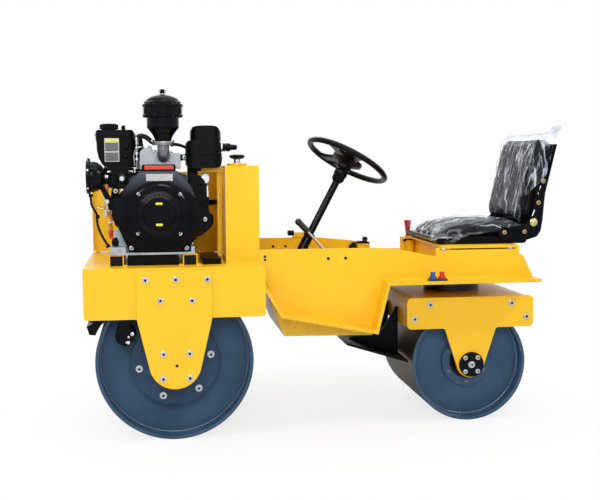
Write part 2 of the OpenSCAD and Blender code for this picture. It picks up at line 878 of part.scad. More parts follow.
// Hydraulic coupling block with two caps on the left edge of the deck
module port_block() {
    z = rear_deck_z + floor_t;
    color(black) from_rear() {
        block([-990, 340, z], [-922, 372, z + 8]);
        for (x = [-939, -973]) translate([x, 356, z]) {
            cylinder(h = 16, r = 14);
            cylinder(h = 32, r = 9);
        }
    }
}

// ---------- rear yoke and drum ----------

// Yoke frame: top plate, front and rear plates and the lower slewing ring
module yoke_frame() {
    y = yoke_y - yoke_t;
    t = 8;
    bottom = yoke_z - yoke_h + 4;
    r = 26;
    color(yellow) from_kingpin() {
        across(-y, y) difference() {
            union() {
                translate([-yoke_half + 6, bottom]) square([2 * yoke_half - 12, yoke_h - 4 - r]);
                translate([-yoke_half + 6 + r, bottom])
                    square([2 * yoke_half - 12 - 2 * r, yoke_h - 4]);
                for (s = [-1, 1]) translate([s * (yoke_half - 6 - r), yoke_z - r]) circle(r = r);
            }
            translate([-yoke_half + 6 + t, bottom - 1])
                square([2 * yoke_half - 12 - 2 * t, yoke_h - 4 - t]);
        }
        translate([0, 0, yoke_z - 1])
            cylinder(h = rear_deck_z - 30 - slew_gap - yoke_z + 1, r = slew_r);
    }
}

module yoke_plate(side) {
    inner = yoke_y - yoke_t;
    leg_top = 100;
    leg_r = 52;
    z0 = yoke_z - yoke_h;
    boss_y = rear_drum_w / 2 - rear_recess + 20;
    corner_r = 16;
    color(yellow) on_side(side) from_kingpin() difference() {
        union() {
            across(inner, yoke_y) {
                soft_rect([-yoke_half, z0], [yoke_half, yoke_z], yoke_r);
                leg_outline(leg_top, z0 + 1, rear_r, leg_r);
                for (s = [1, -1]) scale([s, 1]) inner_corner([leg_top - 6, z0], corner_r);
            }
            across(boss_y, inner + eps) translate([0, rear_r]) circle(r = 44);
            across(yoke_y - eps, yoke_y + 10) translate([0, rear_r]) circle(r = 47);
        }
        across(boss_y - 1, yoke_y) translate([0, rear_r]) circle(r = rear_spindle_r + fit);
    }
}
module yoke_plate_left() { yoke_plate(1); }
module yoke_plate_right() { yoke_plate(-1); }

// Sloping scraper apron in front of the rear drum
module rear_scraper() {
    front = yoke_half - 6;
    color(black) from_kingpin() {
        across(-240, 240) polygon([[231, 226], [470, 300], [466, 308], [236, 238]]);
        for (y = [-90, 80]) across(y, y + 10) polygon([[238, 236], [440, 298], [300, 330],
            [front + 8, 420], [front, 420], [front, 330]]);
    }
}

module rear_drum() {
    half = rear_drum_w / 2;
    disc = half - rear_recess;
    end = yoke_y - 3;
    color(drum_blue) from_kingpin() turned_y(0, rear_r) {
        translate([rear_r - shell_t, -half]) square([shell_t, rear_drum_w]);
        for (s = [0, 1]) mirror([0, s]) {
            translate([0, disc - disc_t]) square([rear_r - shell_t / 2, disc_t]);
            translate([0, disc - eps]) square([rear_flange_r, 14]);
            translate([0, disc]) square([rear_spindle_r, end - disc]);
        }
    }
}

// ---------- assembly ----------

front_deck();
side_plate_left();
side_plate_right();
leg_left();
leg_right();
hose_bracket();
front_scraper();
rail_front();
rail_rear();
crankcase();
fan_shroud();
starter_cover();
cylinder_head();
intake_elbow();
air_filter();
fuel_tank();
muffler();
headlamp();
lamp_cable();
side_panel();
tank_cabinet();
filler_cap();
tank_post();
round_tank();
floor_pan();
wall_left();
wall_right();
seat_box();
seat_frame();
seat_cushion();
back_cushion();
column();
travel_lever();
hand_lever();
control_box();
port_block();
steering_wheel();
yoke_frame();
yoke_plate_left();
yoke_plate_right();
rear_scraper();
rear_drum();
front_drum();
carrier_left();
carrier_right();
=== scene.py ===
import json
import random
from functools import partialmethod
from math import copysign, cos, pi, radians, sin, sqrt
import bmesh
import bpy
from mathutils import Matrix, Vector, noise
from mathutils.bvhtree import BVHTree


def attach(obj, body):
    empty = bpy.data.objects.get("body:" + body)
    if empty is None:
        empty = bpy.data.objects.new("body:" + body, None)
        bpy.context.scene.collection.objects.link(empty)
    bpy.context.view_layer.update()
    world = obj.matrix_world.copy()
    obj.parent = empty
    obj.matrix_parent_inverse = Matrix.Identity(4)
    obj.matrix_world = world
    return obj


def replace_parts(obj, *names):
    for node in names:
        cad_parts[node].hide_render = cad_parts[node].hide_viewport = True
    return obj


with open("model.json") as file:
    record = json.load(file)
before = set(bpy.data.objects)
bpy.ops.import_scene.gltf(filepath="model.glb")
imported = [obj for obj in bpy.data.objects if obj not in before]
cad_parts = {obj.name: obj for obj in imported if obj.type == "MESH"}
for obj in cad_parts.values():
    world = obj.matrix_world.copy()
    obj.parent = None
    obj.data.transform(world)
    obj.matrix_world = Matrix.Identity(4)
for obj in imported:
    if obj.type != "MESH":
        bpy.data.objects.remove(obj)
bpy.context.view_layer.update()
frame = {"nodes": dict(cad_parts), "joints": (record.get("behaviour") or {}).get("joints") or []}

# ---------- places ----------
X, Y, Z = Vector((1, 0, 0)), Vector((0, 1, 0)), Vector((0, 0, 1))
JOINT = {j["name"]: j for j in frame["joints"]}
X0, _, AXLE_Z = JOINT["front_drum_spin"]["pos_m"]
XK, _, REAR_Z = JOINT["rear_drum_spin"]["pos_m"]
WHEELBASE = -1110       # the rear axle from the front one, as P() counts
FRONT_Z, BACK_Z = 280, 220  # the axles' heights
STARTER_X, STARTER_Z = 47, 806
FILTER = (28, 258)      # in X and Y, as the two below
ROUND_TANK = (-104, -140)
CABINET_CAP = (-240, 200)
HOLE_Z = 632.0          # the row of bolt holes in the walls
RING_R = 163.0          # the steering wheel's steel ring
COLUMN_LEN = 0.56      # from the column's foot to the helm's joint
WHEEL_AT = 0.5963       # from the column's foot to the wheel's middle
HELM = Vector(JOINT["helm_turn"]["axis"]).normalized()
COLUMN_FOOT = Vector(JOINT["helm_turn"]["pos_m"]) - HELM * COLUMN_LEN


def P(x, y, z):
    """A place in millimetres from the front axle's station, as the CAD source counts."""
    return Vector((X0 + x / 1000, y / 1000, z / 1000))


def spots(n, start=0.0):
    """Cosine and sine of n even steps round a circle, from a start in degrees."""
    return [(cos(radians(start) + 2 * pi * i / n), sin(radians(start) + 2 * pi * i / n)) for i in range(n)]


# ---------- materials ----------
def fill(nt, n, values):
    """Sets a node's inputs: numbers and colours as values, outputs of other nodes as links."""
    for k, v in values.items():
        if isinstance(v, bpy.types.NodeSocket):
            nt.links.new(v, n.inputs[k])
        else:
            n.inputs[k].default_value = v


def node(nt, kind, values, **settings):
    n = nt.nodes.new("ShaderNode" + kind)
    for k, v in settings.items():
        setattr(n, k, v)
    fill(nt, n, values)
    return n


def shade(c, k):
    return tuple(min(1, v * k) for v in c)


class Mat:
    """A principled material with its colour, roughness and bump from procedural noise."""

    def __init__(self, name, rough=0.5, metal=0.0, coat=0.0, bevel=0.0, spec=0.5):
        self.m = bpy.data.materials.new(name)
        self.m.use_nodes = True
        self.nt = self.m.node_tree
        self.b = self.nt.nodes["Principled BSDF"]
        self.set({"Metallic": metal, "Roughness": rough, "Coat Weight": coat, "Coat Roughness": 0.12,
                  "Specular IOR Level": spec})
        self.co = node(self.nt, "TexCoord", {}).outputs["Object"]
        self.nrm = None
        if bevel:
            self.nrm = node(self.nt, "Bevel", {"Radius": bevel}, samples=4).outputs["Normal"]
            self.set({"Normal": self.nrm})

    def set(self, values):
        fill(self.nt, self.b, values)

    def color(self, out):
        self.set({"Base Color": out})

    def rough(self, out):
        self.set({"Roughness": out})

    def noise(self, scale, detail=4.0, rough=0.55, stretch=None):
        co = self.co
        if stretch:
            co = node(self.nt, "Mapping", {"Scale": stretch, "Vector": co}).outputs["Vector"]
        values = {"Scale": scale, "Detail": detail, "Roughness": rough, "Vector": co}
        return node(self.nt, "TexNoise", values).outputs["Fac"]

    def ramp(self, fac, *stops):
        r = node(self.nt, "ValToRGB", {"Fac": fac})
        e = r.color_ramp.elements
        while len(e) < len(stops):
            e.new(0.5)
        for i, (p, c) in enumerate(stops):
            e[i].position = p
            e[i].color = (*c, 1)
        return r.outputs["Color"]

    def grey(self, fac, p0, p1, v0=0.0, v1=1.0):
        values = {"Value": fac, "From Min": p0, "From Max": p1, "To Min": v0, "To Max": v1}
        return node(self.nt, "MapRange", values).outputs["Result"]

    def math(self, op, a, *others):
        """The operation on a alone, or on a and each of the others in turn."""
        if not others:
            return node(self.nt, "Math", {0: a}, operation=op).outputs[0]
        for b in others:
            a = node(self.nt, "Math", {0: a, 1: b}, operation=op).outputs[0]
        return a

    add = partialmethod(math, "ADD")
    sub = partialmethod(math, "SUBTRACT")
    mul = partialmethod(math, "MULTIPLY")
    most = partialmethod(math, "MAXIMUM")
    over = partialmethod(math, "GREATER_THAN")
    under = partialmethod(math, "LESS_THAN")

    def mix(self, fac, a, b):
        a, b = ((*v, 1) if isinstance(v, tuple) else v for v in (a, b))
        return node(self.nt, "Mix", {6: a, 7: b, 0: fac}, data_type="RGBA").outputs[2]

    def bump(self, height, dist=0.001, strength=0.5):
        n = node(self.nt, "Bump", {"Strength": strength, "Distance": dist, "Height": height})
        if self.nrm is not None:
            fill(self.nt, n, {"Normal": self.nrm})
        self.nrm = n.outputs["Normal"]
        self.set({"Normal": self.nrm})

    def xyz(self):
        return node(self.nt, "SeparateXYZ", {0: self.co}).outputs

    def far(self, u, v):
        """The length of a vector with two numbers."""
        return self.math("SQRT", self.add(self.mul(u, u), self.mul(v, v)))

    def radius(self, x, z):
        """Distance from a line along Y through x, z."""
        o = self.xyz()
        return self.far(self.sub(o[0], x), self.sub(o[2], z))


def paint(name, c, rough=0.32, coat=0.35, dirt=0.1, peel=0.35, bevel=0.0016, spec=0.5):
    m = Mat(name, rough, 0.0, coat, bevel, spec)
    stops = (0.3, shade(c, 1 - dirt)), (0.5, c), (0.75, shade(c, 1 + dirt * 0.4))
    m.color(m.ramp(m.noise(5, 5, 0.6), *stops))
    m.rough(m.grey(m.noise(26, 4), 0.3, 0.7, rough - 0.06, rough + 0.08))
    m.bump(m.noise(420, 2), 0.00012, peel)
    return m


def steel(name, c, rough=0.3, scale=60, vary=0.25):
    m = Mat(name, rough, 1.0, 0, 0.0006)
    m.color(m.ramp(m.noise(scale, 4), (0.3, shade(c, 1 - vary)), (0.65, c)))
    m.rough(m.grey(m.noise(scale * 3, 3), 0.3, 0.7, rough - 0.08, rough + 0.14))
    m.bump(m.noise(scale * 8, 2), 0.0001, 0.3)
    return m


def grained(name, base, grain, dark, lite, bump=None, vary=None, stretch=None, upper=0.7):
    """Two shades in a grain (scale, detail), with roughness and bump of their own where they're given."""
    m = Mat(name, *base)
    m.color(m.ramp(m.noise(*grain, stretch=stretch), (0.3, dark), (upper, lite)))
    if vary:
        scale, low, high = vary
        m.rough(m.grey(m.noise(scale, 3), 0.3, 0.7, low, high))
    if bump:
        scale, detail, dist, strength = bump
        m.bump(m.noise(scale, detail), dist, strength)
    return m


YELLOW_C, BLACK_C = (0.87, 0.508, 0.0112), (0.0022, 0.0026, 0.0042)
NEAR_BLACK, GRIP_BLACK = (0.003, 0.003, 0.004), (0.012, 0.012, 0.014)
YELLOW = paint("yellow_paint", YELLOW_C, 0.36, 0.12, 0.06, spec=0.3)
BLACK = paint("black_paint", BLACK_C, 0.16, 0.0, 0.05, 0.12, spec=0.1)
BLACK_ROUGH = paint("black_paint_rough", (0.0025, 0.0025, 0.003), 0.32, 0.0, 0.1, 0.6, spec=0.08)
RED = paint("red_paint", (0.45, 0.012, 0.012), 0.3, dirt=0.15)
BLUE_GREY = paint("blue_grey_paint", (0.024, 0.052, 0.098), 0.26, 0.0, 0.15, spec=0.14)
# welds and bolts on the drums: a lighter copy of the drum paint, a painted highlight
WELD_PAINTED_HIGHLIGHT = paint("blue_grey_weld_painted_highlight", (0.07, 0.115, 0.18), 0.16, 0.4, 0.2)
RED_STRIP = paint("red_strip", (0.62, 0.035, 0.015), 0.4, 0.1, 0.15, bevel=0.0004)
YELLOW_STRIP = paint("yellow_strip", (0.78, 0.66, 0.02), 0.4, 0.1, 0.1, bevel=0.0004)
GREY_LABEL = paint("grey_label", (0.11, 0.12, 0.12), 0.45, 0.1, 0.35, bevel=0.0003)
RED_KNOB = paint("red_plastic", (0.66, 0.014, 0.01), 0.34, 0.2, 0.1, bevel=0.0006)
ZINC = steel("zinc_steel", (0.66, 0.67, 0.68), 0.28, 300, 0.3)
BRASS = steel("yellow_zinc", (0.7, 0.56, 0.26), 0.32, 300, 0.3)
CHROME = steel("chrome", (0.75, 0.76, 0.78), 0.12, 90, 0.12)
# base is roughness, metal, coat, bevel and specular level, as Mat() takes them
ALU = grained("cast_aluminium", (0.42, 0.75, 0, 0.0012), (34, 5), (0.22, 0.24, 0.27), (0.35, 0.37, 0.41),
              (700, 3, 0.0003, 0.6), (120, 0.36, 0.55), upper=0.6)
IRON = grained("cast_iron", (0.34, 0.8, 0, 0.001), (50, 5), (0.1, 0.1, 0.105), (0.3, 0.3, 0.31),
               (600, 3, 0.0004, 0.8))
RUBBER = grained("black_rubber", (0.5, 0, 0, 0.0008, 0.1), (60, 4), (0.006, 0.006, 0.007),
                 (0.014, 0.014, 0.016), (900, 2, 0.0002, 0.5))
PLASTIC = grained("black_plastic", (0.26, 0, 0, 0.001, 0.1), (40, 4), NEAR_BLACK, (0.007, 0.007, 0.008),
                  (1400, 2, 0.0002, 0.7))
VINYL = grained("black_vinyl", (0.22, 0, 0.0, 0, 0.06), (30, 4), NEAR_BLACK, (0.006, 0.006, 0.008),
                (1100, 3, 0.0002, 0.6), (90, 0.2, 0.32))
AMBER = grained("amber_plastic", (0.25, 0, 0.3), (70, 3), (0.4, 0.1, 0.012), (0.62, 0.22, 0.04))
WHITE = grained("white_plastic", (0.4,), (60, 3), (0.62, 0.63, 0.64), (0.82, 0.82, 0.82))
SILVER = grained("silver_plate", (0.36, 0.6, 0, 0.0004), (60, 4), (0.3, 0.3, 0.29), (0.46, 0.46, 0.45),
                 stretch=(1, 1, 8))
GLASS = grained("lamp_glass", (0.1, 0.0, 0.6, 0.0004), (40, 3), (0.5, 0.53, 0.56), (0.82, 0.84, 0.85),
                stretch=(1, 12, 1))
GLASS.bump(GLASS.noise(120, 2, stretch=(1, 6, 1)), 0.001, 0.6)

# drum shells: bare rolled steel outside, blue-grey paint inside the rims
DRUM_PAINT = (0.04, 0.085, 0.152)


def drum_mat(name, z, r_out, x, hub=0.0):
    m = Mat(name, 0.24, 0, 0.0, 0.0012, 0.14)
    r = m.radius(x, z)
    blotch = m.noise(4.5, 5, 0.6)
    painted = m.ramp(blotch, (0.3, (0.03, 0.066, 0.122)), (0.5, DRUM_PAINT), (0.72, (0.06, 0.115, 0.19)))
    rings = m.noise(3.0, 6, 0.7, stretch=(0.6, 55, 0.6))
    stops = (0.3, (0.03, 0.026, 0.022)), (0.5, (0.07, 0.06, 0.05)), (0.7, (0.125, 0.112, 0.1))
    rust = m.mix(m.grey(m.noise(7, 6, 0.65), 0.48, 0.62), m.ramp(rings, *stops), (0.085, 0.058, 0.038))
    edge = m.grey(r, r_out - 0.0035, r_out - 0.0015)
    if hub:
        painted = m.mix(m.grey(r, hub, hub + 0.002), (0.004, 0.005, 0.007), painted)
    m.color(m.mix(edge, painted, rust))
    m.set({"Metallic": m.mul(edge, 0.75)})
    m.rough(m.mix(edge, (0.24,) * 3, (0.42,) * 3))
    m.bump(m.noise(160, 5, 0.7), 0.0006, 0.35)
    return m


def split(name, mask_of, a, b, rough=(0.35, 0.35), metal=None):
    """Two finishes on one node, b where the mask is 1."""
    m = Mat(name, rough[0], 0, 0.1, 0.0008, 0.4)
    k = mask_of(m)
    n = m.noise(70, 4)
    m.color(m.mix(k, *(m.ramp(n, (0.3, shade(c, 0.8)), (0.7, c)) for c in (a, b))))
    m.rough(m.grey(k, 0, 1, *rough))
    if metal:
        m.set({"Metallic": m.grey(k, 0, 1, *metal)})
    m.bump(m.noise(500, 2), 0.00015, 0.4)
    return m


def lever_mask(m):
    """The black grip above the rod's top and the valve block at its foot."""
    o = m.xyz()
    top, d = P(-522, 60, 716), Vector((0.688, 0, 0.726))
    along = m.add(m.mul(o[0], d.x), m.mul(o[2], d.z))
    grip = m.over(along, top.dot(d) - 0.001)
    return m.most(grip, m.under(o[2], 0.5355))


def kingpin_grease_and_shade_mask(low, high, r):
    """The greased bearing round the kingpin, between two heights; its black is grease and also painted shade
    under the platform.
    """
    def mask(m):
        o = m.xyz()
        d = m.far(m.sub(o[0], XK), o[1])
        return m.mul(m.over(o[2], low), m.under(o[2], high), m.under(d, r))
    return mask


def beyond(axis, place):
    """1 past a place on the axis, 0 before it."""
    return lambda m: m.over(m.xyz()[axis], place)


def painted_highlight_top(m):
    """The shroud's upper slopes outside the starter's ring, lighter and duller: a painted highlight."""
    ring = m.grey(m.radius(P(STARTER_X, 0, 0).x, STARTER_Z / 1000), 0.112, 0.124)
    up = m.add(m.xyz()[2], m.mul(m.noise(16, 3), 0.03))
    return m.mul(ring, m.grey(up, 0.885, 0.965))


FRONT_DRUM = drum_mat("front_drum_steel", AXLE_Z, 0.28, X0)
REAR_DRUM = drum_mat("rear_drum_steel", REAR_Z, 0.22, XK, 0.064)
LEVER = split("lever_steel_and_grip", lever_mask, (0.72, 0.73, 0.75), GRIP_BLACK, (0.18, 0.42), (1, 0))
KNOB_BOX = split("yellow_box_black_knob", beyond(2, 0.6412), (0.8, 0.42, 0.02), GRIP_BLACK, (0.36, 0.42))
# black round the kingpin on the yoke and the floor pan: grease, and painted shade under the platform
GREASE_AND_SHADE_C = (0.006, 0.006, 0.007)
YOKE = split("yoke_yellow_grease_and_shade_pin", kingpin_grease_and_shade_mask(0.4755, 0.6, 0.112), YELLOW_C, GREASE_AND_SHADE_C, (0.36, 0.3))
PAN = split("floor_yellow_grease_and_shade_seat", kingpin_grease_and_shade_mask(0.5, 0.5378, 0.1255), YELLOW_C, GREASE_AND_SHADE_C, (0.36, 0.3))
# the shroud's black paint, lighter on its upper slopes as a painted highlight
SHROUD = split("shroud_paint", painted_highlight_top, BLACK_C, (0.06, 0.068, 0.086), (0.16, 0.26))
SHROUD.set({"Specular IOR Level": 0.1, "Coat Weight": 0.0})
HEAD = split("head_aluminium_black_bracket", beyond(0, P(112.6, 0, 0).x), (0.33, 0.35, 0.39), NEAR_BLACK,
             (0.42, 0.3), (0.75, 0))
PORTS = Mat("port_caps", 0.36, 0, 0.1, 0.0008)
_cap = PORTS.mix(beyond(0, P(-956, 0, 0).x)(PORTS), (0.62, 0.012, 0.01), (0.008, 0.075, 0.4))
_worn = PORTS.mix(PORTS.grey(PORTS.noise(90, 4), 0.3, 0.7, 0, 0.25), _cap, (0.01, 0.01, 0.02))
PORTS.color(PORTS.mix(beyond(2, 0.5583)(PORTS), GRIP_BLACK, _worn))
PORTS.rough(PORTS.grey(PORTS.noise(60, 3), 0.3, 0.7, 0.3, 0.44))

FINISHES = [
    (ALU, "crankcase"), (HEAD, "cylinder_head"), (IRON, "intake_elbow"), (SHROUD, "fan_shroud"),
    (BLACK, "starter_cover air_filter fuel_tank headlamp seat_frame column"), (LEVER, "travel_lever"),
    (BLACK_ROUGH, "muffler hose_bracket front_scraper rear_scraper"), (PORTS, "port_block"),
    (PLASTIC, "filler_cap seat_cushion back_cushion steering_wheel"), (KNOB_BOX, "control_box"),
    (BLUE_GREY, "carrier_left carrier_right"), (FRONT_DRUM, "front_drum"), (REAR_DRUM, "rear_drum"),
    (YOKE, "yoke_frame"), (PAN, "floor_pan"), (RUBBER, "lamp_cable"), (RED, "hand_lever"),
]
FINISH_OF = {name: mat for mat, names in FINISHES for name in names.split()}
for name, ob in frame["nodes"].items():
    for slot in ob.material_slots:
        slot.material = FINISH_OF.get(name, YELLOW).m


# ---------- pieces ----------
def axes_for(axis):
    """Rotation that turns Z onto the axis."""
    z = Vector(axis).normalized()
    x = Z.cross(z) if abs(z.z) < 0.9 else Y.cross(z)
    x.normalize()
    return Matrix((x, z.cross(x), z)).transposed()


def to_scene(name, data):
    ob = bpy.data.objects.new(name, data)
    bpy.context.scene.collection.objects.link(ob)
    return ob


class Build:
    """Collects parts in one mesh that rides on a body. Sizes are in millimetres, places from P()."""

    def __init__(self, name, *mats, body="frame"):
        self.name, self.mats, self.body = name, mats, body
        self.bm = bmesh.new()

    def faces_between(self, p, q, mi):
        n = max(len(p), len(q))
        for i in range(n):
            j = (i + 1) % n
            loop = dict.fromkeys((p[i % len(p)], p[j % len(p)], q[j % len(q)], q[i % len(q)]))
            if len(loop) > 2:
                self.bm.faces.new(list(loop)).material_index = mi

    def turn(self, at, axis, profile, seg=24, mi=0, spin=0.0, lobe=None):
        """A solid of revolution: the profile lists (radius, one or two distances along the axis).
        lobe is the number of waves round the rim and their depth."""
        rot = axes_for(axis)
        rings = []
        for r, h in [(r, h) for r, *stops in profile for h in stops]:
            ring = []
            for i in range(seg if r else 1):
                a = spin + 2 * pi * i / seg
                k = r * (1 + (lobe[1] * cos(lobe[0] * a) if lobe else 0))
                ring.append(self.bm.verts.new(at + rot @ Vector((k * cos(a), k * sin(a), h)) / 1000))
            rings.append(ring)
        for p, q in zip(rings, rings[1:]):
            self.faces_between(p, q, mi)

    def solid(self, at, axis, profile, *rest):
        """A solid of revolution closed at both ends."""
        self.turn(at, axis, [(0, profile[0][1]), *profile, (0, profile[-1][-1])], *rest)

    def disc(self, at, axis, r, h, *rest):
        self.solid(at, axis, [(r, 0, h)], *rest)

    def bolt(self, at, axis, af, washer=0.0, head=None, mi=0):
        """A hexagon head on its washer, with a socket whose floor is painted black as shade where the second
        material is black.
        af is the size across flats, head its height."""
        t = 0.0
        if washer:
            t = 2.2
            self.solid(at, axis, [(washer, 0, 1.4), (washer - 0.6, t)], 24, mi)
        r = af / 2 / cos(pi / 6)
        h = head or af * 0.42
        top = t + h
        spin = RNG.uniform(0, 1.0)
        side = [(r, t, t + h * 0.74), (r * 0.86, top), (r * 0.56, top), (r * 0.52, top - 0.9), (0, top - 0.9)]
        self.turn(at, axis, side, 6, mi, spin)
        # a thin black hex on the socket's floor: painted shade in the recess
        if len(self.mats) > 1 and self.mats[1] in (BLACK, BLACK_ROUGH):
            self.solid(at, axis, [(r * 0.5, top - 0.6, top - 0.3)], 6, 1, spin)

    def bolts(self, places, axis, *rest, **more):
        for at in places:
            self.bolt(P(*at), axis, *rest, **more)

    def tube(self, pts, r, seg=10, mi=0, ripple=0.0, closed=False, taper=None):
        """A round bar along points; ripple roughens a weld."""
        ends = (pts[-1], pts[0]) if closed else (pts[0], pts[-1])
        line = [ends[0], *pts, ends[1]]
        rings = []
        up = None
        for i, (a, p, b) in enumerate(zip(line, pts, line[2:])):
            t = (b - a).normalized()
            if up is None:
                up = t.orthogonal().normalized()
            up = (up - t * up.dot(t)).normalized()
            side = t.cross(up)
            k = r * (1 + ripple * (sin(i * 2.4) * 0.6 + RNG.uniform(-0.5, 0.5)))
            if taper:
                k *= taper(i / (len(pts) - 1))
            rings.append([self.bm.verts.new(p + (up * c + side * s) * k / 1000) for c, s in spots(seg)])
        for p, q in zip(rings, rings[1:]):
            self.faces_between(p, q, mi)
        if closed:
            self.faces_between(rings[-1], rings[0], mi)
        else:
            for ring in (rings[0][::-1], rings[-1]):
                self.bm.faces.new(ring).material_index = mi

    def curve(self, places, per, r, *rest, **more):
        """A tube along a smooth line through places counted as P() counts, per points to each step."""
        self.tube(smooth_line([P(*q) for q in places], per), r, *rest, **more)

    def bead(self, a, b, r, step=3.5, seg=8, ripple=0.25):
        """A straight weld between two places."""
        a, b = P(*a), P(*b)
        n = max(2, int((b - a).length * 1000 / step))
        self.tube([a.lerp(b, i / n) for i in range(n + 1)], r, seg, 0, ripple)

    def hoop(self, at, v, r, w, n=72, seg=6, mi=0, ripple=0.0):
        """A closed bar w thick in radius, along a circle in the plane of X and v."""
        self.tube([at + (X * c + v * s) * r / 1000 for c, s in spots(n)], w, seg, mi, ripple, True)

    def slab(self, outline, y0, y1, mi=0, bevel=0.0):
        """An outline in X and Z, counted as P() counts, from y0 to y1."""
        self.prism([P(x, y0, z) for x, z in outline], [P(x, y1, z) for x, z in outline], mi, bevel)

    def block(self, lo, hi, mi=0, bevel=1.0):
        x0, y0, z0 = lo
        x1, y1, z1 = hi
        self.slab([(x0, z0), (x1, z0), (x1, z1), (x0, z1)], y0, y1, mi, bevel)

    def prism(self, low, high, mi=0, bevel=0.0):
        """A solid between two outlines, with rounded edges where a bevel is given."""
        a = [self.bm.verts.new(p) for p in low]
        b = [self.bm.verts.new(p) for p in high]
        faces = [self.bm.faces.new(a), self.bm.faces.new(b[::-1])]
        for i in range(len(a)):
            j = (i + 1) % len(a)
            faces.append(self.bm.faces.new((a[j], a[i], b[i], b[j])))
        for f in faces:
            f.material_index = mi
        if bevel:
            edges = list({e for f in faces for e in f.edges})
            out = bmesh.ops.bevel(self.bm, geom=edges, offset=bevel / 1000, segments=2, affect="EDGES",
                                  clamp_overlap=True)
            for f in out["faces"]:
                f.material_index = mi

    def done(self, angle=38):
        bmesh.ops.recalc_face_normals(self.bm, faces=self.bm.faces)
        me = bpy.data.meshes.new(self.name)
        self.bm.to_mesh(me)
        self.bm.free()
        for m in self.mats:
            me.materials.append(m.m)
        me.shade_smooth()
        me.set_sharp_from_angle(angle=radians(angle))
        ob = to_scene(self.name, me)
        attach(ob, self.body)
        return ob


RNG = random.Random(7)


def smooth_line(pts, per=8):
    """Catmull-Rom points through the given ones."""
    ext = [pts[0] * 2 - pts[1], *pts, pts[-1] * 2 - pts[-2]]
    out = []
    for i in range(1, len(ext) - 2):
        a, b, c, d = ext[i - 1:i + 3]
        for k in range(per):
            t = k / per
            square, cube = 2 * a - 5 * b + 4 * c - d, 3 * b - a - 3 * c + d
            out.append(0.5 * ((2 * b) + (c - a) * t + square * t * t + cube * t ** 3))
    out.append(pts[-1])
    return out


SIDES = ((1, "left"), (-1, "right"))


def frame_bolts():
    leg = [(100, 580), (-5, 580), (-115, 579), (49, 507), (-61, 505), (41, 318), (-50, 318), (43, 230),
           (-50, 230)]
    for s, side in SIDES:
        out = Y * s
        b = Build(f"leg_bolts_{side}", ZINC, BLACK)
        b.bolts([(x, 400 * s, z) for x, z in leg], out, 17.5, 12.5, 6.5)
        b.done()
        b = Build(f"carrier_bolts_{side}", ZINC, BLACK, body="drum_front")
        b.bolts([(129 * c, 344 * s, FRONT_Z + 129 * d) for c, d in spots(6, 170)], out, 17, 13, 6)
        b.done()
        b = Build(f"yoke_bolts_{side}", ZINC, BLACK, body="yoke")
        corners = ((158, 449), (-158, 449), (217, 396), (-217, 396))
        b.bolts([(WHEELBASE + x, 270 * s, z) for x, z in corners], out, 17, 12.5, 7)
        hub = [(WHEELBASE + x, 285.6 * s, BACK_Z + z) for x in (24, -24) for z in (26, -26)]
        b.bolts(hub, out, 11, 9, 5)
        b.bolt(P(WHEELBASE, 285.6 * s, BACK_Z), out, 15, 13, 7)
        b.done()
        b = Build(f"hub_cover_{side}", BLACK, body="yoke")
        b.solid(P(WHEELBASE, 280.1 * s, BACK_Z), out, [(47.6, 0, 4), (46, 5.5)], 56)
        b.done()
        b = Build(f"riser_bolts_{side}", ZINC)
        for x in (-998, -1257):
            b.disc(P(x, 285 * s, 657), out, 7, 1.2, 20)
            b.turn(P(x, 286.2 * s, 657), out, [(4.6, 0, 3), (3.4, 4.6), (0, 5.2)], 16)
        b.done()


def welds():
    """Weld beads, painted over on the frame and, on the drums, lighter than the drum paint as a painted
    highlight, and the rear drum's bolts.
    """
    for s, side in SIDES:
        b = Build(f"welds_{side}", YELLOW)
        # leg plate to the side plate, then wall to floor
        leg = [(-131, 441), (-131, 597), (-123, 605), (123, 605), (131, 597), (131, 441)]
        floor = [(-322, 590), (-374, 444), (-722, 373), (-768, 550), (-1298, 550)]
        for line, y, r, step in ((leg, 388 * s, 2.6, 3.5), (floor, 285.5 * s, 3.0, 4)):
            for (x0, z0), (x1, z1) in zip(line, line[1:]):
                b.bead((x0, y, z0), (x1, y, z1), r, step)
        b.bead((-322, 285.5 * s, 590), (-322, 285.5 * s, 622), 2.6)
        # deck to side plate, inner corner of the cross plates
        for x in (303, -311):
            b.bead((x, 376 * s, 450), (x, 376 * s, 610), 2.8)
        # cabinet and post feet
        b.bead((-190, 285 * s, 621.5), (-312, 285 * s, 621.5), 2.4)
        b.done(60)
    b = Build("rail_welds", YELLOW)
    for x in (162, 238, -98, -22):
        b.bead((x, -48, 622), (x, 336, 622), 2.2, 5, 6, 0.3)
    b.done(60)
    # the drums' welds and the rear drum's bolts in the lighter copy of the drum paint, a painted highlight
    d = Build("front_drum_welds", WELD_PAINTED_HIGHLIGHT, body="drum_front")
    e = Build("rear_drum_welds", WELD_PAINTED_HIGHLIGHT, body="drum_rear")
    for s, _ in SIDES:
        d.hoop(P(0, 290.5 * s, FRONT_Z), Z, 266.5, 4.2, 300, 8, 0, 0.18)
        e.hoop(P(WHEELBASE, 200.5 * s, BACK_Z), Z, 206.5, 4.0, 240, 8, 0, 0.18)
    for s, _ in SIDES:
        places = [(WHEELBASE + 78 * u, 214 * s, BACK_Z + 78 * v) for u, v in spots(6, 30)]
        e.bolts(places, Y * s, 13, 9, 5)
    d.done(60)
    e.done(60)


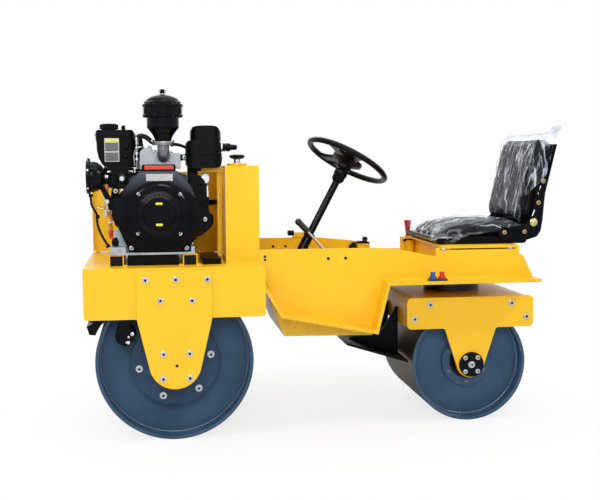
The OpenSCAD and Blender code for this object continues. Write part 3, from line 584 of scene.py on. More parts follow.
def engine_details():
    b = Build("engine_bolts", ZINC, BLACK)
    for x, z, y, r in ((146, 685, 303, 13), (-48, 682, 303, 13), (-115, 783, 296, 14), (199, 886, 262, 14)):
        b.turn(P(x, y - 26, z), Y, [(r, 0, 24), (r - 2, 26), (0, 26)], 28, 1)
        b.bolt(P(x, y, z), Y, 12, 8.5, 6)
    b.bolts(((117, 328, 876), (-26, 328, 874), (121, 328, 739), (-25, 328, 736)), Y, 10, 8, 5)
    b.bolts(((57, 234, 1027), (0, 234, 1022), (-48, 204, 1004)), Y, 11, 8, 6)
    b.bolts(((66, 259, 1061), (-10, 259, 1061), (28, 250, 1061)), Z, 9, 0, 6)
    b.bolts(((102, 120, 1036), (76, 185, 1038)), Z, 13, 9, 8)
    b.bolts(((-68, 228, 689), (-68, 300, 668.7), (206, 228, 689), (206, 300, 668.7)), Z, 13, 10, 8)
    b.done()

    f = Build("starter_trim", BLACK, YELLOW_STRIP, ZINC)
    y = 322
    for r, t, w in ((54, 24.6, 1.6), (80, 17.5, 1.6), (99, 12.4, 1.2)):
        f.hoop(P(STARTER_X, y + t, STARTER_Z), Z, r, w, 96)
    bar = ((37, -4), (57, -4), (59, -2), (59, 2), (57, 4), (37, 4), (35, 2), (35, -2))
    for z in (843, 769):
        f.slab([(x, z + up) for x, up in bar], y + 30, y + 30.7, 1)
    for c, d in spots(28):
        at = P(STARTER_X + 67 * c, y + 20.8, STARTER_Z + 67 * d)
        f.turn(at, Y, [(3.6, 0, 1.4), (2.4, 2), (0, 2)], 12)
    f.done()

    p = Build("blank_plates", SILVER, RED_STRIP, BLACK, YELLOW_STRIP, GREY_LABEL, ZINC)
    p.block((-3, 320.4, 922), (91, 321.6, 947), 0, 0.4)
    for x in (1, 87):
        for z in (926, 943):
            p.turn(P(x, 321.5, z), Y, [(1.8, 0), (1.6, 0.7), (0, 1.1)], 12, 5)
    p.slab([(-14, 950), (106, 950), (106, 976), (101, 980), (-9, 980), (-14, 976)], 288, 292, 2, 1.0)
    p.block((-6, 291.8, 962), (96, 293, 976.5), 1, 0.4)
    # label on the tank: a frame, a header and two empty fields
    p.block((184, 239.8, 990), (236, 241.3, 1074), 0, 0.5)
    for z0, z1, y, mi in ((1061, 1071.5, 241.9, 3), (1028, 1058, 241.8, 4), (993, 1023, 241.8, 4)):
        p.block((187, 240.8, z0), (233, y, z1), mi, 0.3)
    p.done()

    t = Build("tank_trim", PLASTIC, ZINC, BLACK)
    for c, d in spots(22):
        t.solid(P(221 + 31.2 * c, 170 + 31.2 * d, 1108), Z, [(2.6, 0, 15), (1.6, 16.5)], 8)
    t.turn(P(221, 170, 1125), Z, [(27, 0), (26, 2), (10, 3.4), (0, 3.4)], 32)
    t.turn(P(171, 120, 1112), Z, [(9, 0, 3), (6, 5, 7), (8, 8, 10), (4, 11.6), (0, 11.6)], 24, 2)
    for x, z in ((158, 1042), (161, 1009)):
        t.turn(P(x, 239.5, z), Y, [(9, 0, 1.5), (6.5, 4), (3, 6.5), (0, 7)], 20, 2)
    for z in (1089, 1079):
        t.tube([P(129, 30, z), P(129, 214, z)], 1.6, 6, 2)
    t.done()

    c = Build("side_castings", BLACK_ROUGH, ZINC, BRASS, WHITE, BLACK)
    # pump housing on the front side
    pump = [(128, 893), (212, 893), (232, 905), (236, 940), (222, 958), (150, 960), (128, 940)]
    c.slab(pump, 176, 258, 0, 7)
    c.turn(P(176, 256, 930), Y, [(20, 0, 7), (16, 9), (0, 9)], 30, 4)
    c.bolt(P(176, 265, 930), Y, 12, 9, mi=1)
    c.bolts(((206, 257, 945), (146, 257, 945), (214, 257, 905)), Y, 9, 7, mi=4)
    # ribs of the pump housing and the stay below it
    for x in (140, 158, 196, 214):
        c.block((x, 254, 902), (x + 4, 262, 950), 0, 1.2)
    stay = [(186, 758), (200, 752), (214, 790), (220, 850), (214, 893), (192, 893), (188, 850), (182, 800)]
    c.slab(stay, 196, 238, 0, 5)
    c.turn(P(196, 238, 840), Y, [(15, 0, 10), (12, 13), (0, 13)], 26, 4)
    c.slab([(136, 958), (236, 958), (232, 970), (140, 972)], 196, 252, 0, 3)
    # governor housing behind the fan housing, at the rear side
    upper = [(-64, 948), (-96, 944), (-122, 916), (-132, 880), (-134, 842), (-118, 818), (-92, 838),
             (-66, 905)]
    c.slab(upper, 236, 264, 0, 6)
    c.bolts(((-108, 263, 908), (-122, 263, 850)), Y, 10, 7.5, mi=4)
    lower = [(-70, 700), (-92, 712), (-96, 752), (-120, 780), (-136, 800), (-130, 826), (-96, 816),
             (-70, 780)]
    c.slab(lower, 214, 250, 0, 6)
    for z in (830, 848, 866, 884):
        c.block((-134, 250, z), (-96, 262, z + 4))
    c.slab([(-131, 862), (-125, 862), (-125, 902), (-129, 902)], 263, 266, 3, 1)
    # strainer and its banjo bolt
    c.solid(P(-120, 196, 926), Y, [(17, 0, 22), (19, 24, 30), (17, 32, 50), (19, 52, 56), (15, 60)], 36, 1)
    for u, v in spots(16):
        c.tube([P(-120 + 17 * u, y, 926 + 17 * v) for y in (199, 244)], 1.5, 6, 1)
    c.solid(P(-84, 224, 926), Y, [(6, 0, 20), (11, 20, 29)], 24, 2)
    c.bolt(P(-84, 253, 926), Y, 13, 0, mi=2)
    c.curve(((-84, 240, 915), (-80, 242, 880), (-76, 236, 850), (-70, 220, 836)), 6, 4, 10, 2)
    c.done()

    s = Build("fuel_lines", AMBER, ZINC, BRASS, WHITE, RED_KNOB, BLACK_ROUGH)
    y = 262
    s.solid(P(233, y, 876), Z, [(9, -2), (9.5, 6, 30), (8, 38)])
    s.solid(P(233, y, 912), Z, [(11, 0), (12, 3, 10), (9, 14), (6, 16, 60)], 24, 5)
    s.solid(P(232, y, 858), Z, [(6, 0), (10, 2, 9), (7, 11, 17)], 6, 1)
    s.solid(P(230, y, 822), Z, [(6, -4), (11, 2), (13, 8, 20), (11, 26), (7, 32, 38)], 24, 2)
    s.solid(P(218, y, 835), X, [(10, -4, 4)], 6, 2)
    s.solid(P(243, y, 822), (1, 0, 0.3), [(5, 0, 16), (6.5, 17, 22)], 18, 2)
    s.solid(P(235, y, 796), Z, [(7, 0), (9, 2, 11), (6, 14, 20)], 6, 1)
    for x, z in ((224, 817), (219, 775)):
        s.disc(P(x, y, z - 2), Z, 9, 4.5, 24, 3)
        s.block((x - 12, y - 3, z - 2.5), (x - 6, y + 5, z + 3.5), 3, 0.8)
    drop = ((226, y, 818), (220, y, 800), (216, y, 785), (219, y, 768), (218, y, 748))
    s.curve(drop, 6, 6.2, 14)
    s.solid(P(219, y, 722), Z, [(6, 0), (7.5, 3, 14), (9, 16, 22), (6, 26)], 18, 4)
    s.slab([(207, 716), (224, 716), (224, 721), (207, 721)], y - 4, y + 8, 4, 1.5)
    s.slab([(190, 684), (214, 684), (218, 700), (212, 722), (196, 724), (188, 706)], y - 16, y + 2, 5, 3)
    s.curve(((212, 256, 700), (204, 250, 690), (196, 240, 686), (188, 226, 690)), 6, 4.2, 10, 5)
    s.done()

    h = Build("engine_hoses", RUBBER, ZINC, BLACK_ROUGH)
    breather = ((120, 214, 1079), (104, 220, 1082), (88, 224, 1077), (72, 232, 1064), (60, 240, 1056))
    h.curve(breather, 7, 9, 14)
    tap = [(8, 0, 6), (6, 7, 14), (9, 15, 24), (7, 26, 32), (10, 33, 38), (5, 42)]
    h.solid(P(123, 214, 1052), Z, tap, 20, 1)
    h.disc(P(123, 214, 964), Z, 3.4, 90, 14, 1)
    for z in (996, 1016, 1036):
        h.disc(P(123, 214, z), Z, 7.5, 7, 6, 1)
    h.solid(P(131, 214, 950), Z, [(4, 0, 14), (7.5, 14, 20)], 6, 1)
    pipe = ((131, 214, 975), (134, 216, 1010), (126, 222, 1034), (112, 226, 1042), (98, 218, 1040))
    h.curve(pipe, 7, 3.2, 10, 1)
    elbow = ((-4, 226, 1052), (-24, 230, 1050), (-44, 228, 1044), (-58, 224, 1036))
    h.curve(elbow, 6, 6, 12, 2, taper=lambda t: 1.1 - 0.3 * t)
    h.solid(P(-4, 214, 1052), Y, [(9, 0, 18), (7, 20)], 20, 2)
    h.done()

    a = Build("filter_trim", BLACK, ZINC)
    for z, r, w in ((1148, 69.0, 1.6), (1191, 71.6, 2.0)):
        a.hoop(P(*FILTER, z), Y, r, w)
    a.turn(P(*FILTER, 1198), Z, [(64.2, 0), (66.4, 1, 3.4), (63.0, 5)], 72)
    for q in (0.5, 2.6, 4.7):
        a.disc(P(28 + 70.4 * cos(q), 258 + 70.4 * sin(q), 1160), Z, 3.2, 20, 12)
    a.turn(P(*FILTER, 1058.2), Z, [(33, 0), (39.6, 0, 2.6), (33, 2.6)], 40, 1)
    # wing nut on the hood
    a.turn(P(*FILTER, 1228.5), Z, [(9, 0, 2), (7, 3, 10), (4, 12, 17.6), (0, 17.6)], 16, 1)
    for q in (1, -1):
        a.tube([P(28 + q * 6, 258, 1233), P(28 + q * 10, 258, 1237), P(28 + q * 12, 258, 1243)], 2.3, 8, 1)
    a.done()

    m = Build("muffler_trim", BLACK_ROUGH, ZINC)
    low = [(-178, 1014), (-181, 1000), (-176, 978), (-160, 967.5), (-80, 967.5), (-60, 978), (-54.5, 1000),
           (-54.5, 1046), (-62, 1062), (-80, 1065)]
    high = [(-176.6, 1062), (-176.6, 1092), (-168, 1110), (-152, 1116.4), (-98, 1116.4), (-80, 1110),
            (-72.4, 1094), (-72.4, 1068)]
    for seam, y in ((low, 252.4), (high, 236.6)):
        m.curve([(x, y, z) for x, z in seam], 5, 1.7, 6)
    m.turn(P(-176, 205, 1040), -X, [(11, 0), (17, 1, 9), (14, 12), (11, 12)], 26, 1)
    m.solid(P(-198, 205, 1040), -X, [(15, 0, 14), (11, 18), (8, 40), (6, 42, 38)], 26)
    for x in range(-160, -87, 18):
        m.block((x, 110, 1112), (x + 10, 226, 1114.5))
    m.done()

    g = Build("lamp_lens", GLASS, CHROME, ZINC, BLACK)
    y, z = 300, 938
    g.turn(P(294.5, y, z), X, [(55, 0), (53, 1.5), (38, 3.6), (20, 4.8), (0, 5.2)], 64)
    g.turn(P(286, y, z), X, [(59.2, 0), (60.2, 1.5, 8), (58, 11), (54.6, 11), (54.2, 8)], 72, 3)
    for q in (0.4, 2.2, 3.1, 4.4, 5.6):
        out = Y * cos(q) + Z * sin(q)
        g.solid(P(291, y, z) + out * 0.0602, out, [(4.2, -1, 2), (3, 3)], 12, 2)
    g.solid(P(233, y, z), -X, [(9, -4, 2), (6, 4, 10)], 20, 2)
    g.bolt(P(229, 285, 850), Y, 11, 8, mi=2)
    g.solid(P(289, y, z + 57), (0.2, 0, 1), [(6, 0, 5), (3, 6, 9)], 16, 3)
    g.done()

    # the lamp's cable, held by a clip on the fuel line
    run = [(284, 300, 878.5), (284, 300, 858), (281, 300, 838), (272, 299, 820), (264, 298, 803),
           (264, 298, 782), (260, 297, 758), (248, 294, 728), (236, 292, 706), (226, 291, 692)]
    run = smooth_line([P(*q) for q in run], 6)
    k = Build("lamp_lead", RUBBER)
    k.tube(run, 4.5, 12)
    ob = k.done(60)
    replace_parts(ob, "lamp_cable")
    k = Build("lead_clip", BLACK_ROUGH, ZINC)
    k.turn(P(262.5, 297.8, 792), Z, [(4.6, 0), (7.5, 0, 12), (4.6, 12)], 20)
    k.turn(P(284, 300, 868), Z, [(4.7, 0), (8, 0, 7), (6.5, 10), (4.7, 10)], 20)
    k.turn(P(226.6, 291, 688), (0.5, 0, 0.87), [(4.8, 0), (8, 0, 8), (4.8, 8)], 20)
    k.done()


def body_details():
    c = Build("cabinet_cap", PLASTIC, CHROME, YELLOW)
    c.solid(P(*CABINET_CAP, 981), Z, [(16, 0, 3), (12, 5, 15), (10, 16)], 30, 1)
    c.solid(P(*CABINET_CAP, 997), Z, [(15, 0), (24, 4), (26, 8, 13), (22, 16), (9, 17)], 64, 0, 0, (8, 0.07))
    c.turn(P(*CABINET_CAP, 980.9), Z, [(34, 0), (36.5, 0, -6.5), (34, -6.5)], 40, 2)
    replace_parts(c.done(), "filler_cap")

    s = Build("tank_strap", BLACK, ZINC, YELLOW)
    for z in (820, 824, 828, 832, 836):
        s.hoop(P(*ROUND_TANK, z), Y, 83.2, 2.4)
    s.block((-112, -58, 816), (-96, -50, 840), 0, 1.5)
    s.bolt(P(-104, -50, 828), Y, 11, 8, mi=1)
    for z in (634, 946):
        s.hoop(P(*ROUND_TANK, z), Y, 79.5, 2.6, mi=2, ripple=0.15)
    s.solid(P(*ROUND_TANK, 948), Z, [(26, 0, 6), (22, 8, 18), (20, 21)], 36, 0, 0, (12, 0.02))
    s.disc(P(-178, 205, 627), Z, 3, 16, 12, 1)
    s.bolts(((-162, 192, 627), (-162, 214, 627)), Z, 11, 8, mi=1)
    s.done()

    # fittings on the far wall and the lever's boot
    w = Build("wall_fittings", YELLOW, PLASTIC, ZINC, RUBBER)
    w.slab([(-506, 668), (-560, 668), (-560, 684), (-550, 690), (-516, 690), (-506, 680)], -277, -273, 0, 1.2)
    w.block((-513, -292, 677), (-487, -268, 698), 1, 2)
    w.solid(P(-500, -268, 688), Y, [(8, 0, 6), (5, 8, 12)], 20, 1)
    w.block((-773, -277, 620), (-745, -250, 634), 1, 2)
    w.slab([(-773, 634), (-750, 634), (-756, 644), (-768, 647)], -272, -252, 1, 1.5)
    rest = [(-829, 641.3), (-774, 641.3), (-776, 648), (-784, 652), (-796, 649), (-827, 648)]
    w.slab(rest, -276, -236, 1, 1.2)
    w.solid(P(-811, -256, 657), Z, [(14, 0, 3), (9, 5, 8), (12, 9, 11)], 24, 1)
    # cable clip at the hand lever's post
    w.hoop(P(-1006, -252, 655), Y, 22.5, 2.6, 36, 8, 1)
    w.turn(P(-984, -252, 652), (0.6, 0.7, 0), [(0, 0), (6, 0), (7, 5), (5, 11), (0, 13)], 16, 1)
    w.slab([(-1002, 670.2), (-1024, 670.2), (-1003, 684)], -266, -262, 0, 0.6)
    boot = [(26, 0), (27, 4)]
    for i in range(6):
        boot += [(24 - i * 2.6, 7 + i * 6), (26 - i * 2.6, 10 + i * 6)]
    w.solid(P(-690, 60, 528), (0.25, 0, 0.97), [*boot, (8, 46)], 28, 3)
    w.done()

    # the hydraulic fittings behind the front drum's rim
    f = Build("motor_fittings", ZINC, BRASS, BLACK_ROUGH)
    for x, z, r in ((148, 389, 7), (161, 379, 4.5), (162, 359, 6.5), (169, 360, 3.5)):
        f.solid(P(x, 378, z), Y, [(r, 0, 4), (r * 0.6, 5, 7)], 6)
    f.disc(P(166, 300, 382), -Y, 30, 6, 30, 2)
    f.done()

    # black pieces put where shade falls, as painted shade: a tray under the engine, dark rubber blocks in the
    # rails' channels, a block beside the rear rail, and castings filling the gaps behind the tank
    g = Build("engine_tray_and_shade_fill", BLACK_ROUGH, RUBBER)
    g.slab([(-18, 622), (158, 622), (164, 634), (160, 660.5), (-20, 660.5), (-22, 634)], 20, 296, 0, 3)
    g.block((-170, 60, 622), (-106, 300, 643))
    g.block((176, 120, 622), (224, 296, 655), 1)
    g.block((-84, 120, 622), (-36, 296, 655), 1)
    g.slab([(96, 905), (138, 905), (140, 990), (136, 1082), (104, 1082), (98, 1040)], 96, 176, 0, 5)
    g.slab([(96, 840), (142, 840), (156, 905), (96, 905)], 110, 196, 0, 4)
    g.slab([(-96, 900), (-60, 900), (-60, 1010), (-100, 1010)], 96, 170, 0, 5)
    g.done()

    # rubber plugs in the wall's bolt holes and the front slot's pin
    for s, side in SIDES:
        w = Build(f"wall_plugs_{side}", RUBBER, ZINC)
        for x in ((-564, -629) if s > 0 else (-425, -477)):
            w.disc(P(x, 278 * s, HOLE_Z), Y * s, 5.9, 6.6, 20)
        y0, y1 = sorted((278 * s, 283.5 * s))
        w.block((-334.6, y0, 627.6), (-327.4, y1, 648.4))
        for z in (632, 643):
            w.solid(P(-331, 283.5 * s, z), Y * s, [(5.4, 0, 1.2), (4, 2.2)], 16)
        w.disc(P(-331, 284.5 * s, 637.5), Y * s, 2.4, 1.6, 12, 1)
        w.done()

    k = Build("column_trim", BLACK, ZINC, RUBBER)
    collar = [(19, 0), (24, 2, 12), (19, 16), (14, 18)]
    boss = [(14, 0), (19, 6), (24.5, 14, 30), (27, 34, 56), (24.3, 61)]
    k.turn(COLUMN_FOOT + HELM * 0.255, HELM, collar, 32)
    k.turn(COLUMN_FOOT + HELM * 0.497, HELM, boss, 36)
    k.bolts([(x, y, z) for x, z in ((-412, 484.2), (-448, 480)) for y in (28, 92)], Z, 11, 8, mi=1)
    k.done()


def helm_details():
    """Moulded grip and webs over the steering wheel's steel ring and spokes."""
    mid = COLUMN_FOOT + HELM * WHEEL_AT
    fwd = (X - HELM * HELM.x).normalized()
    side = HELM.cross(fwd)

    def at(r, deg):
        a = radians(deg)
        return mid + (fwd * cos(a) + side * sin(a)) * r / 1000

    b = Build("wheel_grip", PLASTIC, body="helm")
    b.tube([at(RING_R, 2.5 * i) for i in range(144)], 11.4, 16, 0, 0, True)
    inner = RING_R - 6
    webs = [(58, 34), (84, 46), (120, 50), (inner, 47), (inner, 68), (122, 62), (92, 66), (86, 74), (100, 80),
            (124, 79), (inner, 74), (inner, 108), (122, 105), (84, 112), (58, 124), (30, 124), (30, 34)]
    half = HELM * 0.0065
    for s in (1, -1):
        loop = [at(r, a * s) for r, a in webs]
        b.prism([p - half for p in loop], [p + half for p in loop], 0, 2.4)
    hub = [(27.5, -35), (28.5, -24), (34, -20), (52, -12), (62, -7, 6.6), (56, 8), (30, 9.5), (0, 10.5)]
    b.turn(mid, HELM, [(0, -35), *hub], 56)
    b.turn(mid, HELM, [(30, 9, 12), (27, 14), (0, 15)], 48)
    b.done(40)


def seat_details():
    q = Build("seat_pan_skirt", BLACK)
    pan = [(-985, 692), (-989, 680), (-998, 672), (-1010, 670.4), (-1330, 670.4), (-1340, 674), (-1344, 684),
           (-1344, 696), (-985, 696)]
    bend = [(-1296, 690), (-1340, 688), (-1366, 702), (-1381, 728), (-1391, 762), (-1400, 800), (-1394, 801),
            (-1383, 766), (-1371, 736), (-1356, 716), (-1336, 706), (-1296, 704)]
    q.slab(pan, -223, 223, 0, 2.5)
    q.slab(bend, -222, 222, 0, 1)
    q.done()
    for s, side in SIDES:
        b = Build(f"seat_bolts_{side}", BRASS, BLACK, ZINC)
        y = 228 * s
        edge = ((-1253, 713), (-1332, 714), (-1386, 824), (-1404, 906))
        b.bolts([(x, y, z) for x, z in edge], Y * s, 12, 8.5, 5.5)
        b.solid(P(-1368, y, 750), Y * s, [(15, 0, 1.6), (14, 2.2)], 36)
        b.turn(P(-1368, y + 2 * s, 750), Y * s, [(9, 0, 5), (7, 6.4), (0, 6.4)])
        b.turn(P(-1411, 221 * s, 946), Y * s, [(7, 0, 2), (4.5, 5), (0, 5.6)], 20, 2)
        cx, cz = -1303, 797
        for off, w in ((11, 2.6), (19, 2.2)):
            r, more = 60 + off, off - 11
            arc = [(-1240, y, cz - r + 6)]
            arc += [(cx - r * sin(q), y, cz - r * cos(q)) for q in (pi * i / 20 for i in range(11))]
            arc += [(-1376 - more, y, 842), (-1382 - more, y, 890), (-1392 - more * 0.6, y, 914)]
            b.curve(arc, 3, w, 8, 1)
        b.curve([(x, y, 690) for x in (-1240, -1262, -1310, -1350)], 1, 2.2, 8, 1)
        b.curve(((-1384, y, 856), (-1388, y, 872), (-1394, y, 888)), 1, 2.0, 8, 2)
        b.curve(((-1362, y, 774), (-1366, y, 785), (-1371, y, 796)), 1, 2.0, 8, 2)
        b.done()


# ---------- seat: stuffed cushions under a clear film ----------
VOXEL = 0.006           # the remeshed form's grid
CLOTH_FRAMES = 20
CLOTH = {"quality": 4, "mass": 0.3, "tension_stiffness": 12, "compression_stiffness": 12,
         "shear_stiffness": 6, "bending_stiffness": 0.6, "use_pressure": True, "uniform_pressure_force": 4.0}
FILM_GRID = (96, 120)
FILM_GAP = 0.0022       # the film's least distance from its cushion
SEAT_X, SEAT_LOW = -1163, 0.6987  # the seat cushion's middle and its underside
SEAT_HALF_T = 0.0155    # half its thickness as drawn


def clamp(v, low, high):
    return max(low, min(high, v))


def box_form(name, half, r_plan, r_edge, crown, cuts=(26, 26, 5)):
    """A closed slab on an even grid with round corners in plan, round edges and a crowned top."""
    a, b, _ = half
    bm = bmesh.new()
    made = {}

    def vert(*key):
        if key not in made:
            p = Vector([h * (2 * g / n - 1) for h, g, n in zip(half, key, cuts)])
            q = Vector([clamp(v, -h + r_edge, h - r_edge) for h, v in zip(half, p)])
            d = p - q
            if d.length > 1e-9:
                p = q + d.normalized() * r_edge * min(1, max(abs(v) for v in d) / r_edge)
            q = Vector((clamp(p.x, -a + r_plan, a - r_plan), clamp(p.y, -b + r_plan, b - r_plan), 0))
            d = Vector((p.x - q.x, p.y - q.y, 0))
            if d.length > 1e-9:
                d *= max(abs(d.x), abs(d.y)) / d.length
                p = Vector((q.x + d.x, q.y + d.y, p.z))
            if p.z > 0:
                p.z += crown * (1 - (p.x / a) ** 2) * (1 - (p.y / b) ** 2)
            made[key] = bm.verts.new(p)
        return made[key]

    for ax in range(3):
        u, v = [i for i in range(3) if i != ax]
        for side in (0, cuts[ax]):
            for i in range(cuts[u]):
                for j in range(cuts[v]):
                    loop = []
                    for du, dv in ((0, 0), (1, 0), (1, 1), (0, 1)):
                        key = [0, 0, 0]
                        key[ax], key[u], key[v] = side, i + du, j + dv
                        loop.append(vert(*key))
                    bm.faces.new(loop)
    bmesh.ops.recalc_face_normals(bm, faces=bm.faces)
    me = bpy.data.meshes.new(name)
    bm.to_mesh(me)
    bm.free()
    return to_scene(name, me)


def applied(ob):
    """Applies the object's modifiers to its mesh."""
    dg = bpy.context.evaluated_depsgraph_get()
    me = bpy.data.meshes.new_from_object(ob.evaluated_get(dg))
    old = ob.data
    ob.modifiers.clear()
    ob.data = me
    bpy.data.meshes.remove(old)


def stuff(ob, cap):
    """Swells the form with a cloth simulation; no point moves further than cap."""
    rm = ob.modifiers.new("remesh", "REMESH")
    rm.mode = "VOXEL"
    rm.voxel_size = VOXEL
    applied(ob)
    start = [v.co.copy() for v in ob.data.vertices]
    cl = ob.modifiers.new("cloth", "CLOTH")
    st = cl.settings
    for k, v in CLOTH.items():
        setattr(st, k, v)
    st.effector_weights.gravity = 0
    cl.collision_settings.use_collision = False
    sc = bpy.context.scene
    for f in range(CLOTH_FRAMES):
        sc.frame_set(f + 1)
    dg = bpy.context.evaluated_depsgraph_get()
    end = [v.co.copy() for v in ob.evaluated_get(dg).data.vertices]
    ob.modifiers.clear()
    sc.frame_set(1)
    for v, p, q in zip(ob.data.vertices, start, end):
        d = q - p
        v.co = p + d * min(1, cap / max(d.length, 1e-9))


def finish_soft(ob, mat, levels=1):
    if levels:
        sb = ob.modifiers.new("smooth", "SUBSURF")
        sb.levels = sb.render_levels = levels
        applied(ob)
    ob.data.materials.clear()
    ob.data.materials.append(mat.m)
    ob.data.shade_smooth()
    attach(ob, "frame")


def wrap(t, half, r):
    """Where a sheet's arc length t lies across a slab: the place and the drop over its edge."""
    s, t = (1 if t >= 0 else -1), abs(t)
    if t <= half - r:
        return s * t, 0.0
    q = (t - half + r) / r
    if q <= pi / 2:
        return s * (half - r + r * sin(q)), r * (1 - cos(q))
    return s * half, r + (t - half + r) - r * pi / 2


def ridge(p, seed):
    """Noise with sharp crests, from 0 to 1."""
    v = noise.noise(p + Vector((seed, seed * 1.7, seed * 0.3)))
    return (1 - min(1, abs(v) * 2.6)) ** 2


def drape(name, under, to_world, half, r, reach, height, creases, fold):
    """A clear film over a cushion. reach(side, t) is how far it goes past each edge, creases(p) lifts it and
    fold(x, y, d) is the corner's pull. Returns the film, its flat size and its area."""
    a, b = half
    m, n = FILM_GRID
    bm = bmesh.new()
    grid = []
    for i in range(m + 1):
        row = []
        for j in range(n + 1):
            u, v = 2 * i / m - 1, 2 * j / n - 1
            su = u * (a + reach("x+" if u > 0 else "x-", v))
            sv = v * (b + reach("y+" if v > 0 else "y-", u))
            x, dx = wrap(su, a, r)
            y, dy = wrap(sv, b, r)
            both = min(dx, dy)
            p = Vector((x, y, height(x, y) - dx - dy + both * 0.6))
            p += fold(x, y, both)
            row.append(bm.verts.new(p))
        grid.append(row)
    for i in range(m):
        for j in range(n):
            bm.faces.new((grid[i][j], grid[i + 1][j], grid[i + 1][j + 1], grid[i][j + 1]))
    bm.normal_update()
    for v in bm.verts:
        v.co = to_world @ (v.co + v.normal * creases(v.co))
    if to_world.determinant() < 0:
        bmesh.ops.reverse_faces(bm, faces=bm.faces)
    tree = BVHTree.FromObject(under, bpy.context.evaluated_depsgraph_get())
    for _ in range(2):
        for v in bm.verts:
            co, nor, _, _ = tree.find_nearest(v.co)
            gap = (v.co - co).dot(nor)
            if gap < FILM_GAP:
                v.co += nor * (FILM_GAP - gap)
    bm.normal_update()
    me = bpy.data.meshes.new(name)
    bm.to_mesh(me)
    area = sum(f.calc_area() for f in bm.faces)
    middles = ([row[n // 2] for row in grid], grid[m // 2])
    wide, long = (sum((q.co - p.co).length for p, q in zip(line, line[1:])) for line in middles)
    bm.free()
    k = max(1.03, area * 1.03 / (wide * long))
    return to_scene(name, me), (wide * sqrt(k), long * sqrt(k)), area


def film_mat(name, scale, stretch, haze, crest=2.0):
    """Clear film: a faint haze with bright streaks that are painted highlights of its crinkles, and a
    brighter edge above the height crest.
    """
    m = Mat(name, 0.1, spec=0.6)
    patch = m.grey(m.noise(scale * 0.7, 3, 0.6, stretch=stretch), 0.38, 0.58)

    def lines(grain, sharp, gain, least):
        """Thin lines where the noise passes its middle, stronger in the patches: painted highlights."""
        n = m.noise(grain, 2.5, 0.5, stretch=stretch)
        off = m.mul(m.math("ABSOLUTE", m.sub(n, 0.5)), sharp)
        line = m.most(m.sub(1.0, off), 0.0)
        return m.mul(line, m.add(m.mul(patch, gain), least)), n

    wide, n1 = lines(scale, 30, 0.58, 0.16)
    fine, n2 = lines(scale * 2.2, 18, 0.34, 0.0)
    k = m.add(wide, fine, m.mul(patch, haze), haze * 0.45)
    k = m.most(k, m.grey(m.xyz()[2], crest, crest + 0.02, 0.0, 0.5))
    m.set({"Alpha": m.math("MINIMUM", k, 0.9)})
    # pale bluish colour on the streaks, part of the painted highlights
    m.color(m.ramp(n2, (0.35, (0.34, 0.4, 0.5)), (0.62, (0.82, 0.87, 0.95))))
    m.rough(m.grey(n1, 0.3, 0.7, 0.06, 0.18))
    m.bump(n1, 0.004, 0.6)
    return m


FILM_SEAT = film_mat("clear_film_seat", 13, (0.34, 1.0, 1.0), 0.035)
FILM_BACK = film_mat("clear_film_back", 14, (1.2, 1.3, 0.3), 0.02, 1.078)


